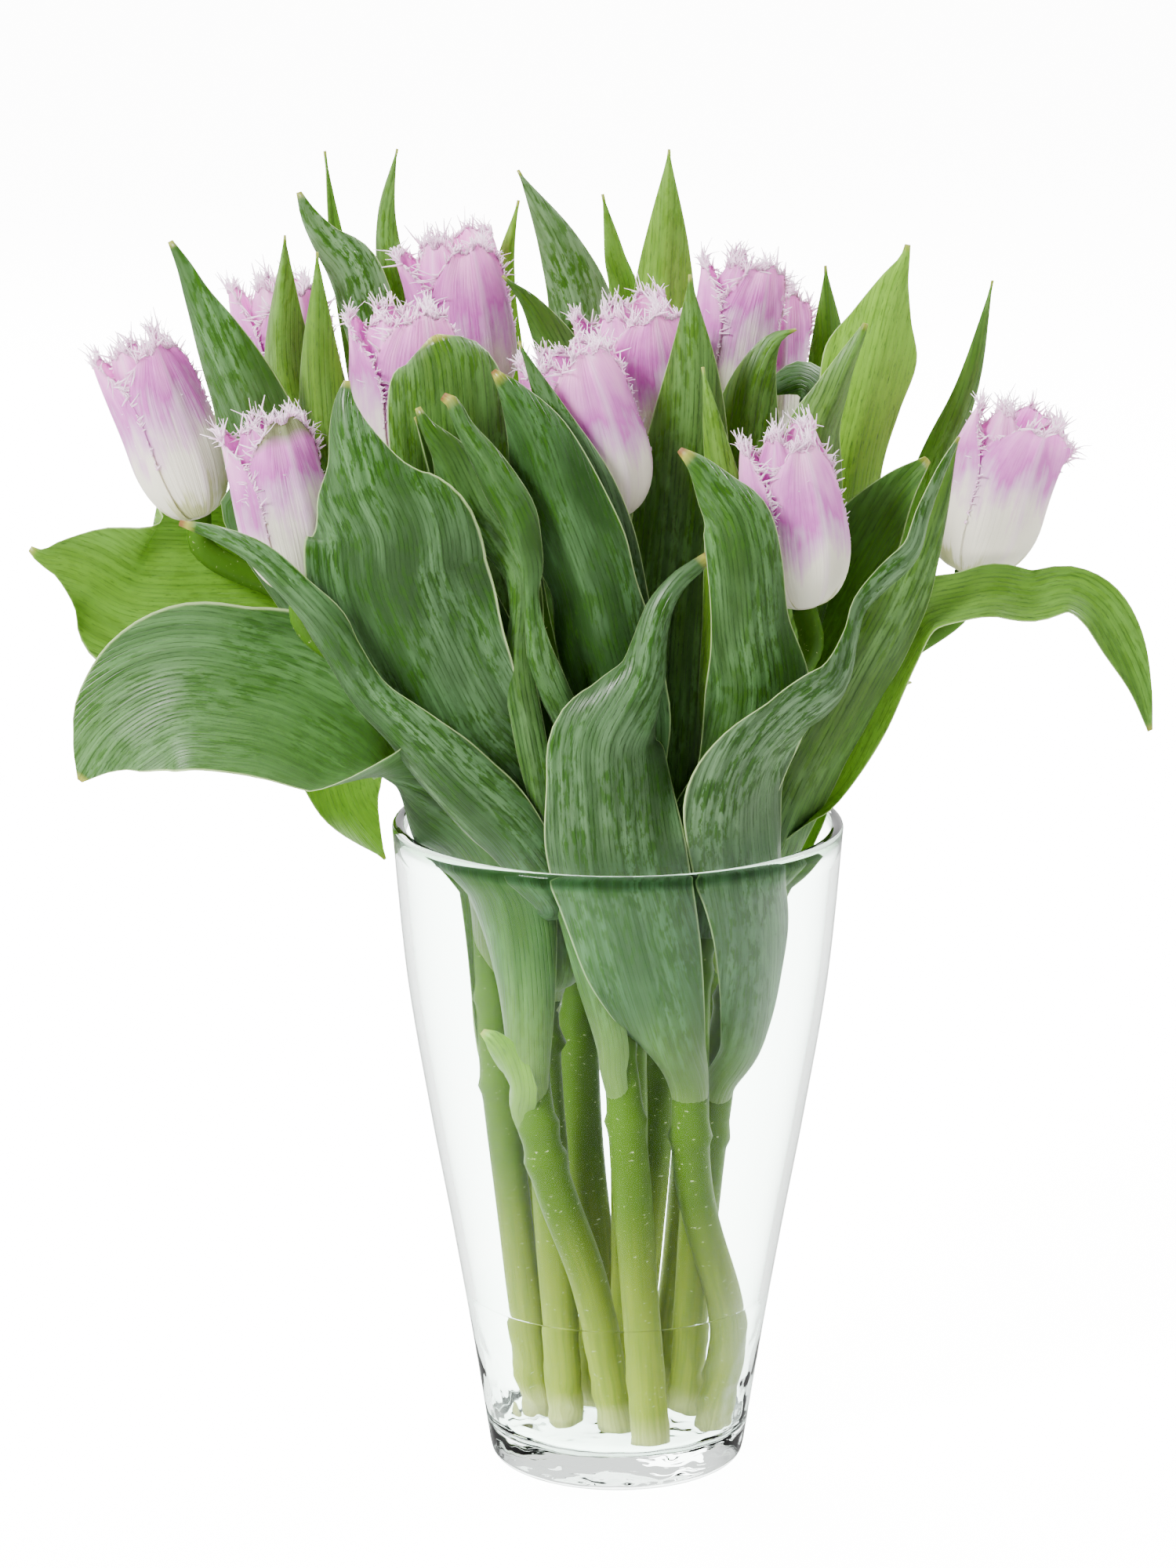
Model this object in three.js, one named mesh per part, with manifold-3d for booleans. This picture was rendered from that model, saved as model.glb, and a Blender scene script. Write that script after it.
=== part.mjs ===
// Eleven fringed tulips standing in a clear glass vase that holds a little water.
// Millimetres, +Z up. The origin is the centre of the vase's underside, and -Y is the front of the bunch.
// Each tulip is one leafy stem and one bloom. A leaf clasps its stem at the root and is fused to it there.
import * as THREE from "three";
import { mergeVertices } from "three/addons/utils/BufferGeometryUtils.js";
import Module from "manifold-3d";

const wasm = await Module();
wasm.setup();

// ---- driving dimensions ----
const clearance = 0.3; // between pieces that touch
const vase = { height: 222, rimRadius: 75, footRadius: 43, wall: 3, floor: 12, lip: 1.5, sides: 32 };
const waterLevel = 60;
const stemRadius = { foot: 5.8, head: 4 };
const stemSides = 8;
const stemSteps = 10;
const neckLength = 14; // straight run below a bloom
const bladeThickness = 0.8;
const bladeStep = 30; // length of one row of a blade
const wideBlade = 29; // blades wider than this are split in four across, others in two
const ripple = { depth: 0.06, count: 2.6, shift: 2 }; // the wave along a blade's edges
const clasp = { wide: 1.7, narrow: 1, sunk: 0.7, height: 14, standOff: 1.4, reach: 0.32 };
const petal = { thickness: 0.8, halfAngle: 1.02, tipHalfAngle: 0.45, toothLength: 4.5 };
const bloomSize = { height: 60, radius: 17.5, mouthRadius: 13.5, belly: 0.38 };

const v3 = (p) => new THREE.Vector3(...p);
const radians = THREE.MathUtils.degToRad;
const mix = THREE.MathUtils.lerp;
const ease = (t) => THREE.MathUtils.smoothstep(t, 0, 1);

// ---- the tulips ----
// foot: where the cut end stands on the vase's floor. route: points that the stem passes through.
// head: the top of the stem. lean: the way its bloom points. swell: the bloom's girth against the usual one.
// A leaf's root is its height on the stem, side the bearing it grows out on, by its later spine points,
// face where its inner side looks at mid length and at the tip, and cup how far it curls round, in degrees.
const tulips = [
  {
    name: "far_left",
    foot: [-27, 8], route: [[-40, 12, 125], [-50, 18, 222], [-84, 20, 280]],
    head: [-138, 14, 318], lean: [-20, 0, 58], swell: 0.9, mouth: 1.05,
    leaves: [
      {
        root: 160, side: -80, width: 33, widest: 0.5, cup: [60, 80], face: [[0.3, 1, 0], [0.4, 1, 0]],
        by: [
          [-55, -2, 224], [-82, -4, 273], [-102, -9, 311],
          [-119, -14, 348], [-133, -18, 385], [-142, -16, 417],
        ],
      },
      {
        root: 130, side: 110, width: 50, widest: 0.6, cup: [50, 60], face: [[0.1, -0.9, 0.4], [0, -0.9, 0.3]],
        by: [
          [-48, 25, 216], [-77, 26, 251], [-116, 18, 277],
          [-152, 10, 292], [-177, 3, 304], [-194, -1, 318],
        ],
      },
    ],
  },
  {
    name: "back_left",
    foot: [-19, 21], route: [[-30, 29, 125], [-42, 38, 222], [-74, 46, 285]],
    head: [-106, 50, 337], lean: [-8, 0, 58], swell: 0.88, mouth: 1,
    leaves: [
      {
        root: 185, side: -60, width: 28, widest: 0.6, cup: [100, 120], face: [[0.3, 1, 0], [0.3, 1, 0]],
        by: [[-50, 33, 232], [-84, 35, 283], [-102, 27, 331], [-111, 21, 371], [-109, 16, 415]],
      },
      {
        root: 205, side: 50, width: 12, widest: 0.5, cup: [60, 60], face: [[0.5, -0.5, 0], [0.5, -0.5, 0]],
        by: [[-58, 58, 270], [-78, 60, 325], [-89, 54, 378], [-94, 50, 410], [-97, 48, 438]],
      },
      {
        root: 140, side: 150, width: 38, widest: 0.7, cup: [60, 60], face: [[0.6, 0, 0.8], [0, -0.6, 0.7]],
        by: [[-46, 43, 222], [-76, 50, 240], [-98, 50, 233], [-98, 51, 214], [-83, 49, 195]],
      },
      {
        root: 165, side: 90, width: 38, widest: 0.5, cup: [60, 80], face: [[0.3, -1, 0], [0.3, -1, 0.2]],
        by: [[-41, 49, 222], [-60, 71, 268], [-74, 90, 310], [-86, 100, 345]],
      },
    ],
  },
  {
    name: "low_left",
    foot: [0, -8], route: [[-9, -18, 65], [-26, -30, 125], [-36, -24, 222], [-68, -30, 268]],
    head: [-102, -38, 308], lean: [-12, 0, 58], swell: 0.86, mouth: 1,
    leaves: [
      {
        root: 128, side: -120, width: 66, widest: 0.72, cup: [80, 50],
        face: [[0.3, 0.9, 0.1], [0.1, -0.7, 0.7], [0, -0.8, 0.5]],
        by: [
          [-35, -42, 178], [-47, -35, 214], [-63, -31, 240], [-92, -30, 262],
          [-132, -32, 266], [-162, -31, 256], [-175, -28, 242],
        ],
      },
      {
        root: 180, side: -55, width: 42, widest: 0.5, cup: [80, 110],
        face: [[0.2, 0.9, 0.3], [0.2, 0.8, 0.6]],
        by: [
          [-28, -49, 222], [-45, -59, 238], [-74, -64, 258],
          [-96, -67, 291], [-119, -65, 315], [-145, -57, 333],
        ],
      },
      {
        root: 200, side: -40, width: 54, widest: 0.5, cup: [60, 100], face: [[0.2, 1, 0.1], [0.2, 1, 0.1]],
        by: [[-29, -41, 234], [-54, -52, 273], [-74, -62, 312], [-85, -67, 343], [-89, -62, 379]],
      },
    ],
  },
  {
    name: "centre_left",
    foot: [-17, -2], route: [[-24, -4, 125], [-29, -8, 222], [-46, -10, 280]],
    head: [-67, -10, 337], lean: [-4, 0, 58], swell: 1, mouth: 1.1,
    leaves: [
      {
        root: 150, side: 170, width: 24, widest: 0.6, cup: [90, 100], face: [[0.3, 1, 0], [0.3, 1, 0]],
        by: [[-38, 0, 225], [-66, -3, 284], [-91, -10, 331], [-97, -15, 370], [-97, -18, 415]],
      },
      {
        root: 190, side: -60, width: 46, widest: 0.66, cup: [60, 90], face: [[0, 1, 0], [0, 1, -0.3]],
        by: [
          [-31, -18, 227], [-42, -24, 277], [-50, -36, 321],
          [-53, -41, 357], [-54, -41, 380], [-60, -35, 390],
        ],
      },
      {
        root: 165, side: -90, width: 22, widest: 0.5, cup: [90, 90], face: [[0.8, -0.4, 0], [0.8, -0.4, 0]],
        by: [
          [-24, -18, 200], [-25, -22, 236], [-37, -31, 273],
          [-50, -41, 312], [-59, -47, 344], [-65, -49, 367],
        ],
      },
    ],
  },
  {
    name: "back_centre_left",
    foot: [-8, 14], route: [[-11, 22, 125], [-14, 30, 222], [-28, 36, 290]],
    head: [-48, 40, 352], lean: [-8, 0, 58], swell: 0.9, mouth: 1.15,
    leaves: [
      {
        root: 170, side: -150, width: 26, widest: 0.6, cup: [60, 80], face: [[0.4, 1, 0], [0.4, 1, 0]],
        by: [[-36, 24, 254], [-65, 26, 324], [-77, 28, 377], [-93, 30, 405], [-106, 30, 428]],
      },
      {
        root: 205, side: 150, width: 18, widest: 0.6, cup: [100, 100], face: [[0.6, 0.8, 0], [0.6, 0.8, 0]],
        by: [[-46, 42, 278], [-66, 46, 331], [-76, 49, 388], [-78, 48, 415], [-73, 46, 439]],
      },
      {
        root: 150, side: 90, width: 40, widest: 0.5, cup: [60, 80], face: [[0.1, -1, 0], [0.1, -1, 0.2]],
        by: [[-16, 50, 226], [-25, 72, 275], [-32, 90, 320], [-39, 100, 352]],
      },
      {
        root: 200, side: 60, width: 14, widest: 0.7, cup: [60, 80], face: [[0, 1, 0], [0, 1, 0]],
        by: [[-4, 44, 240], [3, 56, 290], [3, 66, 376], [-1, 67, 400], [-5, 65, 421]],
      },
    ],
  },
  {
    name: "front_centre",
    foot: [11, -24], route: [[7, -30, 70], [3, -36, 125], [-6, -26, 222], [-3, -22, 280]],
    head: [-2, -21, 327], lean: [-16, 0, 57], swell: 0.98, mouth: 1.15,
    leaves: [
      {
        root: 158, side: -110, width: 34, widest: 0.55, cup: [60, 90], face: [[0.2, 1, 0], [0.2, 1, 0]],
        by: [
          [-3, -41, 196], [-8, -46, 230], [-10, -51, 273], [-16, -53, 309],
          [-24, -53, 340], [-34, -51, 365], [-39, -48, 381],
        ],
      },
      {
        root: 180, side: -50, width: 24, widest: 0.55, cup: [60, 80], face: [[0.2, 1, 0], [0.2, 1, 0]],
        by: [[2, -40, 232], [2, -43, 270], [-2, -44, 307], [-9, -46, 339], [-21, -45, 366], [-32, -41, 390]],
      },
      {
        root: 205, side: 170, width: 24, widest: 0.5, cup: [70, 100], face: [[0.2, 1, 0], [0.2, 1, 0]],
        by: [
          [-18, -34, 240], [-21, -38, 270], [-27, -42, 308],
          [-36, -44, 339], [-46, -45, 359], [-55, -44, 373],
        ],
      },
      {
        root: 132, side: -120, width: 18, widest: 0.6, cup: [80, 80], face: [[0.2, 1, 0], [0.2, 1, 0]],
        by: [[-5, -44, 165], [-11, -49, 205], [-17, -54, 236], [-23, -59, 275], [-24, -58, 314]],
      },
    ],
  },
  {
    name: "centre",
    foot: [4, 6], route: [[4, 3, 125], [4, 4, 222], [6, 10, 290]],
    head: [11, 15, 335], lean: [-8, 0, 57], swell: 1.05, mouth: 1.15,
    leaves: [
      {
        root: 150, side: -50, width: 32, widest: 0.6, cup: [60, 80], face: [[-0.1, 1, 0], [-0.1, 1, 0]],
        by: [[14, -11, 226], [18, -11, 290], [22, -12, 337], [24, -15, 374], [23, -14, 407]],
      },
      {
        root: 190, side: 130, width: 32, widest: 0.6, cup: [60, 80], face: [[0, 1, 0], [0, 1, 0]],
        by: [[-3, 20, 238], [-1, 26, 281], [-7, 36, 334], [-11, 40, 380], [-19, 41, 406], [-33, 39, 433]],
      },
      {
        root: 215, side: 180, width: 18, widest: 0.6, cup: [70, 80], face: [[0.3, 1, 0], [0.3, 1, 0]],
        by: [[-10, 14, 250], [-12, 22, 280], [-15, 27, 320], [-16, 29, 361], [-27, 28, 387], [-38, 26, 400]],
      },
    ],
  },
  {
    name: "back_centre_right",
    foot: [5, 19], route: [[14, 24, 125], [20, 28, 222], [27, 31, 290]],
    head: [34, 33, 347], lean: [11, 0, 58], swell: 0.92, mouth: 1.1,
    leaves: [
      {
        root: 170, side: 90, width: 28, widest: 0.65, cup: [90, 100], face: [[0.1, 1, 0], [0.1, 1, 0]],
        by: [[18, 44, 278], [15, 50, 331], [15, 54, 384], [16, 54, 410], [17, 52, 438]],
      },
      {
        root: 150, side: -80, width: 32, widest: 0.7, cup: [60, 100], face: [[-0.2, 1, 0], [0, 1, -0.4]],
        by: [[28, 10, 240], [38, 2, 300], [41, 0, 345], [44, 1, 368], [50, 3, 382], [58, 4, 386]],
      },
      {
        root: 140, side: 100, width: 38, widest: 0.5, cup: [60, 80], face: [[0, -1, 0], [0, -1, 0.2]],
        by: [[13, 56, 226], [14, 80, 280], [16, 98, 320], [14, 106, 348]],
      },
    ],
  },
  {
    name: "back_right",
    foot: [17, 23], route: [[28, 36, 125], [37, 47, 222], [45, 60, 290]],
    head: [47, 68, 331], lean: [2, 0, 58], swell: 0.82, mouth: 1.05,
    leaves: [
      {
        root: 205, side: 0, width: 17, widest: 0.6, cup: [80, 90], face: [[-0.3, 1, 0], [-0.3, 1, 0]],
        by: [[61, 42, 277], [72, 44, 330], [71, 46, 370], [69, 46, 400]],
      },
      {
        root: 150, side: -50, width: 28, widest: 0.65, cup: [40, 60], face: [[-0.3, 1, 0], [-0.2, 1, 0]],
        by: [[47, 24, 232], [66, 11, 285], [82, 7, 328], [88, 5, 360], [90, 5, 383], [94, 3, 413]],
      },
      {
        root: 185, side: -120, width: 18, widest: 0.6, cup: [60, 60],
        face: [[-0.6, 0.8, 0], [-0.3, 0.4, -0.9]],
        by: [[46, 30, 250], [54, 24, 293], [66, 26, 335], [68, 24, 358], [61, 19, 371], [49, 15, 365]],
      },
      {
        root: 135, side: 70, width: 40, widest: 0.5, cup: [60, 80], face: [[-0.5, -1, 0], [-0.5, -1, 0.2]],
        by: [[38, 53, 220], [56, 74, 268], [74, 92, 310], [89, 99, 340]],
      },
    ],
  },
  {
    name: "right_front",
    foot: [28, -6], route: [[33, -12, 55], [23, -26, 122], [30, -26, 222], [49, -35, 268]],
    head: [60, -38, 302], lean: [-7, 0, 58], swell: 0.98, mouth: 1,
    leaves: [
      {
        root: 124, side: -110, width: 47, widest: 0.5, cup: [40, 200], face: [[0, 1, 0.1], [-0.4, 1, 0]],
        by: [
          [16, -46, 158], [4, -57, 196], [-1, -64, 230], [0, -69, 257],
          [6, -70, 282], [16, -67, 304], [31, -61, 325],
        ],
      },
      {
        root: 180, side: -80, width: 38, widest: 0.5, cup: [60, 90], face: [[-0.1, 1, 0], [0, 1, 0]],
        by: [[30, -46, 228], [38, -57, 269], [41, -65, 302], [37, -66, 327], [29, -65, 345], [21, -62, 358]],
      },
      {
        root: 190, side: 70, width: 30, widest: 0.55, cup: [80, 100], face: [[-0.3, 1, 0], [-0.3, 1, 0]],
        by: [[41, -16, 230], [56, -14, 275], [67, -14, 312], [71, -15, 344], [75, -15, 369], [79, -14, 391]],
      },
      {
        root: 225, side: 170, width: 10, widest: 0.6, cup: [80, 80], face: [[0.2, 1, 0], [0.2, 1, 0]],
        by: [[31, -28, 270], [34, -28, 304], [34, -28, 335], [31, -27, 355], [27, -26, 379]],
      },
    ],
  },
  {
    name: "far_right",
    foot: [23, 9], route: [[31, -6, 118], [52, -3, 222], [80, 6, 266]],
    head: [115, 6, 304], lean: [13, 0, 58], swell: 1.06, mouth: 1.2,
    leaves: [
      {
        root: 118, side: -75, width: 44, widest: 0.42, cup: [50, 90], face: [[-0.5, 0.9, 0], [-0.8, 0.3, 0]],
        by: [
          [43, -27, 152], [45, -40, 190], [46, -48, 222], [52, -54, 248],
          [64, -54, 270], [79, -50, 298], [89, -46, 323], [98, -40, 351],
        ],
      },
      {
        root: 165, side: -50, width: 26, widest: 0.5, cup: [60, 90], face: [[-0.4, 1, 0], [-0.4, 1, 0]],
        by: [[57, -21, 228], [77, -30, 272], [93, -33, 304], [102, -33, 330], [109, -30, 355]],
      },
      {
        root: 185, side: -40, width: 37, widest: 0.55, cup: [40, 60],
        face: [[-0.3, 0.9, 0.3], [-0.1, -0.2, 1], [0.5, -0.5, 0.6]],
        by: [
          [62, -10, 228], [84, -13, 260], [104, -17, 290], [126, -17, 300],
          [149, -15, 296], [165, -13, 276], [177, -11, 251],
        ],
      },
      {
        root: 195, side: 170, width: 24, widest: 0.5, cup: [60, 80], face: [[-0.5, -0.8, 0], [-0.5, -0.8, 0]],
        by: [[44, 2, 232], [56, 4, 262], [70, 2, 292], [83, -1, 318], [92, -4, 334], [101, -7, 345]],
      },
      {
        root: 215, side: 80, width: 16, widest: 0.55, cup: [60, 80], face: [[-0.4, 1, 0], [-0.4, 1, 0]],
        by: [[65, 30, 246], [92, 33, 293], [107, 31, 336], [117, 27, 365], [123, 22, 399]],
      },
      {
        root: 145, side: 30, width: 30, widest: 0.5, cup: [60, 60],
        face: [[-0.6, -0.3, 0.8], [0.2, -0.2, 0.9]],
        by: [[61, 14, 220], [82, 30, 243], [96, 38, 258], [108, 42, 262]],
      },
    ],
  },
];

// ---- solids ----
function solidOf(geometry) {
  geometry.deleteAttribute("normal");
  geometry.deleteAttribute("uv");
  const merged = mergeVertices(geometry, 1e-4);
  return new wasm.Manifold(
    new wasm.Mesh({
      numProp: 3,
      vertProperties: merged.attributes.position.array,
      triVerts: new Uint32Array(merged.index.array),
    }),
  );
}

function meshOf(solid, name, look) {
  const data = solid.getMesh();
  const geometry = new THREE.BufferGeometry();
  geometry.setAttribute("position", new THREE.BufferAttribute(data.vertProperties, 3));
  geometry.setIndex(new THREE.BufferAttribute(data.triVerts, 1));
  geometry.computeVertexNormals();
  const mesh = new THREE.Mesh(geometry, new THREE.MeshStandardMaterial(look));
  mesh.name = name;
  return mesh;
}

const fuse = (solids) => solids.reduce((whole, next) => whole.add(next));

// A thin closed shell between two grids of points, both split along the same diagonals. The near one lies
// on the side that a right-handed turn from its columns to its rows points to.
// tooth(row, column) may return a point that the rim beside that cell runs out to, as one tooth of a fringe.
function shell(near, far, tooth = () => null) {
  const rows = near.length - 1;
  const columns = near[0].length - 1;
  const points = [...near.flat(), ...far.flat()];
  const at = (side, i, j) => side * (rows + 1) * (columns + 1) + i * (columns + 1) + j;
  const faces = [];
  for (let i = 0; i < rows; i++)
    for (let j = 0; j < columns; j++) {
      const corners = (side) => [
        at(side, i, j),
        at(side, i, j + 1),
        at(side, i + 1, j + 1),
        at(side, i + 1, j),
      ];
      const [a, b, c, d] = corners(0);
      const [p, q, r, s] = corners(1);
      faces.push([a, b, c], [a, c, d], [p, r, q], [p, s, r]);
    }
  const rim = (a, b, i, j) => {
    const [a0, b0, a1, b1] = [at(0, ...a), at(0, ...b), at(1, ...a), at(1, ...b)];
    const point = tooth(i, j);
    if (!point) {
      faces.push([b0, a0, a1], [b0, a1, b1]);
      return;
    }
    const apex = points.push(point) - 1;
    faces.push([b0, a0, apex], [a0, a1, apex], [a1, b1, apex], [b1, b0, apex]);
  };
  for (let j = 0; j < columns; j++) {
    rim([0, j], [0, j + 1], -1, j);
    rim([rows, j + 1], [rows, j], rows, j);
  }
  for (let i = 0; i < rows; i++) {
    rim([i + 1, 0], [i, 0], i, -1);
    rim([i, columns], [i + 1, columns], i, columns);
  }
  const geometry = new THREE.BufferGeometry();
  const position = faces.flat().flatMap((k) => points[k].toArray());
  geometry.setAttribute("position", new THREE.Float32BufferAttribute(position, 3));
  return solidOf(geometry);
}

// ---- glass and water ----
// Outside of the glass, from the foot up: it widens fastest at mid height and stands steeper at the rim.
const glassOutline = new THREE.SplineCurve([
  new THREE.Vector2(vase.footRadius, 4),
  new THREE.Vector2(vase.footRadius + 5.5, 40),
  new THREE.Vector2(55.6, 82),
  new THREE.Vector2(62.8, 122),
  new THREE.Vector2(70.4, 170),
  new THREE.Vector2(vase.rimRadius, vase.height - vase.lip),
]);
const outside = glassOutline.getPoints(6);

function glassRadius(height) {
  const k = outside.findIndex((p, i) => i > 0 && height <= p.y);
  const [low, high] = [outside[k - 1], outside[k]];
  return mix(low.x, high.x, (height - low.y) / (high.y - low.y));
}

// The glass's hollow from the middle of its floor up to a height, drawn in by a gap.
function hollowOutline(top, gap) {
  const floor = vase.floor + gap;
  const corner = glassRadius(vase.floor) - vase.wall - gap;
  const rising = outside.filter((p) => p.y > vase.floor + vase.wall && p.y < top);
  return [
    new THREE.Vector2(0, floor),
    new THREE.Vector2(corner - 6, floor),
    new THREE.Vector2(corner - 1.5, floor + 1.5),
    ...rising.map((p) => new THREE.Vector2(p.x - vase.wall - gap, p.y)),
    new THREE.Vector2(glassRadius(top) - vase.wall - gap, top),
  ];
}

function makeVase() {
  const profile = [
    new THREE.Vector2(0, 0),
    new THREE.Vector2(vase.footRadius - 4.5, 0),
    new THREE.Vector2(vase.footRadius - 1.2, 1.2),
    ...outside,
    new THREE.Vector2(vase.rimRadius - vase.wall / 2, vase.height),
    ...hollowOutline(vase.height - vase.lip, 0).reverse(),
  ];
  return solidOf(new THREE.LatheGeometry(profile, vase.sides).rotateX(Math.PI / 2));
}

function makeWater() {
  const profile = [...hollowOutline(waterLevel, clearance), new THREE.Vector2(0, waterLevel)];
  return tulips.reduce(
    (water, tulip) => water.subtract(stemSolid(tulip, clearance, true)),
    solidOf(new THREE.LatheGeometry(profile, vase.sides / 2).rotateX(Math.PI / 2)),
  );
}

// ---- stems ----
const stemFoot = vase.floor + clearance;

function stemCurve(tulip) {
  const neck = v3(tulip.head).addScaledVector(v3(tulip.lean).normalize(), -neckLength);
  const points = [v3([...tulip.foot, stemFoot]), ...tulip.route.map(v3), neck, v3(tulip.head)];
  return new THREE.CatmullRomCurve3(points, false, "catmullrom", 0.5);
}

function stemAt(tulip, height) {
  const curve = stemCurve(tulip);
  let low = 0;
  let high = 1;
  for (let k = 0; k < 30; k++) {
    const middle = (low + high) / 2;
    if (curve.getPoint(middle).z < height) low = middle;
    else high = middle;
  }
  const share = (height - stemFoot) / (tulip.head[2] - stemFoot);
  return { point: curve.getPoint(low), radius: mix(stemRadius.foot, stemRadius.head, share) };
}

// A round stem. Grown by extra, and drilled down below its foot, it is the hole that the stem stands in.
function stemSolid(tulip, extra = 0, drilled = false) {
  const curve = stemCurve(tulip);
  const ring = (i) => {
    const t = i / stemSteps;
    const centre = curve.getPointAt(t);
    const along = i === 0 ? new THREE.Vector3(0, 0, 1) : curve.getTangentAt(t);
    const across = new THREE.Vector3(0, 1, 0).cross(along).normalize();
    const back = along.clone().cross(across);
    const radius = mix(stemRadius.foot, stemRadius.head, t) + extra;
    return Array.from({ length: stemSides }, (_, k) => {
      const angle = (2 * Math.PI * k) / stemSides;
      return centre
        .clone()
        .addScaledVector(across, radius * Math.cos(angle))
        .addScaledVector(back, radius * Math.sin(angle));
    });
  };
  const rings = Array.from({ length: stemSteps + 1 }, (_, i) => ring(i));
  if (drilled) rings.unshift(rings[0].map((p) => p.clone().setZ(0)));
  const [foot, head] = [rings[0], rings.at(-1)];
  const triangles = [];
  for (let k = 0; k < stemSides; k++) {
    const n = (k + 1) % stemSides;
    for (let i = 1; i < rings.length; i++) {
      const [a, b, c, d] = [rings[i - 1][k], rings[i - 1][n], rings[i][n], rings[i][k]];
      triangles.push(a, b, c, a, c, d);
    }
    if (k > 0 && n > 0) triangles.push(foot[0], foot[n], foot[k], head[0], head[k], head[n]);
  }
  return solidOf(new THREE.BufferGeometry().setFromPoints(triangles));
}

// ---- leaves ----
// A blade is a channel: an arc of half angle halfAngle, whose bottom follows the spine.
// At its root the arc clasps the stem. It opens, is widest at leaf.widest, and tapers to the tip.
function leafShape(leaf, u, root) {
  const t = (u - leaf.widest) / (1 - leaf.widest);
  const full = leaf.width / 2;
  const halfWidth = t < 0 ? mix(root.halfWidth, full, ease(u / leaf.widest)) : full * (1 - t ** 2);
  const [middle, tip] = leaf.cup.map((degrees) => radians(degrees) / 2);
  const halfAngle =
    u < clasp.reach
      ? mix(root.halfAngle, middle, ease(u / clasp.reach))
      : mix(middle, tip, (u - clasp.reach) / (1 - clasp.reach));
  return { halfWidth: Math.max(halfWidth, 0.7), halfAngle };
}

// Where the inner side looks: at the stem by the root, then along leaf.face, whose last entry is the tip's.
function leafFacing(leaf, inward, u) {
  const ways = leaf.face.map((p) => v3(p).normalize());
  if (u < clasp.reach) return inward.clone().lerp(ways[0], ease(u / clasp.reach));
  const place = ((u - clasp.reach) / (1 - clasp.reach)) * (ways.length - 1);
  const k = Math.min(Math.floor(place), ways.length - 2);
  return ways[k].clone().lerp(ways[k + 1], place - k);
}

// How far a blade's edge, at v = -1 or 1, waves toward its inner side.
function edgeWave(leaf, u, v) {
  const phase = 2 * Math.PI * ripple.count * u + ripple.shift * v + leaf.root;
  return ripple.depth * leaf.width * Math.sin(phase) * v * v * ease(u / clasp.reach) * (1 - u ** 4);
}

function leafSpine(tulip, leaf) {
  const root = stemAt(tulip, leaf.root);
  const bearing = radians(leaf.side);
  const out = new THREE.Vector3(Math.cos(bearing), Math.sin(bearing), 0);
  const above = stemAt(tulip, leaf.root + clasp.height);
  const points = [
    root.point.addScaledVector(out, root.radius * clasp.sunk),
    above.point.addScaledVector(out, above.radius + clasp.standOff),
    ...leaf.by.map(v3),
  ];
  const curve = new THREE.CatmullRomCurve3(points, false, "catmullrom", 0.5);
  const halfAngle = leaf.width > wideBlade ? clasp.wide : clasp.narrow;
  return { curve, inward: out.negate(), halfAngle, halfWidth: root.radius * clasp.sunk * halfAngle };
}

function leafSolid(tulip, leaf) {
  const { curve, inward, ...root } = leafSpine(tulip, leaf);
  const columns = leaf.width > wideBlade ? 4 : 2;
  const bladeRows = Math.max(6, Math.round(curve.getLength() / bladeStep));
  const inner = [];
  const outer = [];
  for (let i = 0; i <= bladeRows; i++) {
    const u = i / bladeRows;
    const centre = curve.getPointAt(u);
    const along = curve.getTangentAt(u);
    const facing = leafFacing(leaf, inward, u);
    facing.addScaledVector(along, -facing.dot(along)).normalize();
    const across = along.clone().cross(facing);
    const { halfWidth, halfAngle } = leafShape(leaf, u, root);
    const radius = halfWidth / halfAngle;
    const row = (offset) =>
      Array.from({ length: columns + 1 }, (_, j) => {
        const v = (2 * j) / columns - 1;
        const angle = halfAngle * v;
        return centre
          .clone()
          .addScaledVector(across, (radius - offset) * Math.sin(angle))
          .addScaledVector(facing, radius - (radius - offset) * Math.cos(angle) + edgeWave(leaf, u, v));
      });
    const half = Math.min(bladeThickness / 2, radius * 0.45);
    inner.push(row(half));
    outer.push(row(-half));
  }
  return shell(inner, outer);
}

function makeLeafyStem(tulip) {
  return fuse([stemSolid(tulip), ...tulip.leaves.map((leaf) => leafSolid(tulip, leaf))]);
}

// ---- blooms ----
// A closed cup of three inner and three outer petals on a small receptacle, in the bloom's own frame.
function petalPoint(tulip, whorl, t, s, offset) {
  const { height, radius, mouthRadius, belly } = bloomSize;
  const full = radius * tulip.swell + (whorl ? 1 : -1.2);
  const mouth = mouthRadius * tulip.mouth + (whorl ? 1.6 : -1.2);
  const base = whorl ? 4 : 2.4;
  const rise = Math.min(t / belly, 1) * (Math.PI / 2);
  const upper = Math.max((t - belly) / (1 - belly), 0);
  const shoulder = belly * height * 0.94;
  const reach = t < belly ? mix(base, full, Math.sin(rise)) : mix(full, mouth, upper ** 1.6);
  const level = t < belly ? shoulder * (1 - Math.cos(rise)) : mix(shoulder, height * 0.93, upper);
  const narrowing = mix(petal.halfAngle, petal.tipHalfAngle, Math.max((t - 0.55) / 0.45, 0) ** 2);
  const angle = s * narrowing;
  const r = reach + offset - (whorl ? 0 : 0.5 * s * s);
  return new THREE.Vector3(r * Math.cos(angle), r * Math.sin(angle), level + 0.6);
}

const petalRows = [0.02, 0.26, 0.6, 1];
const petalColumns = 3;

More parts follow.
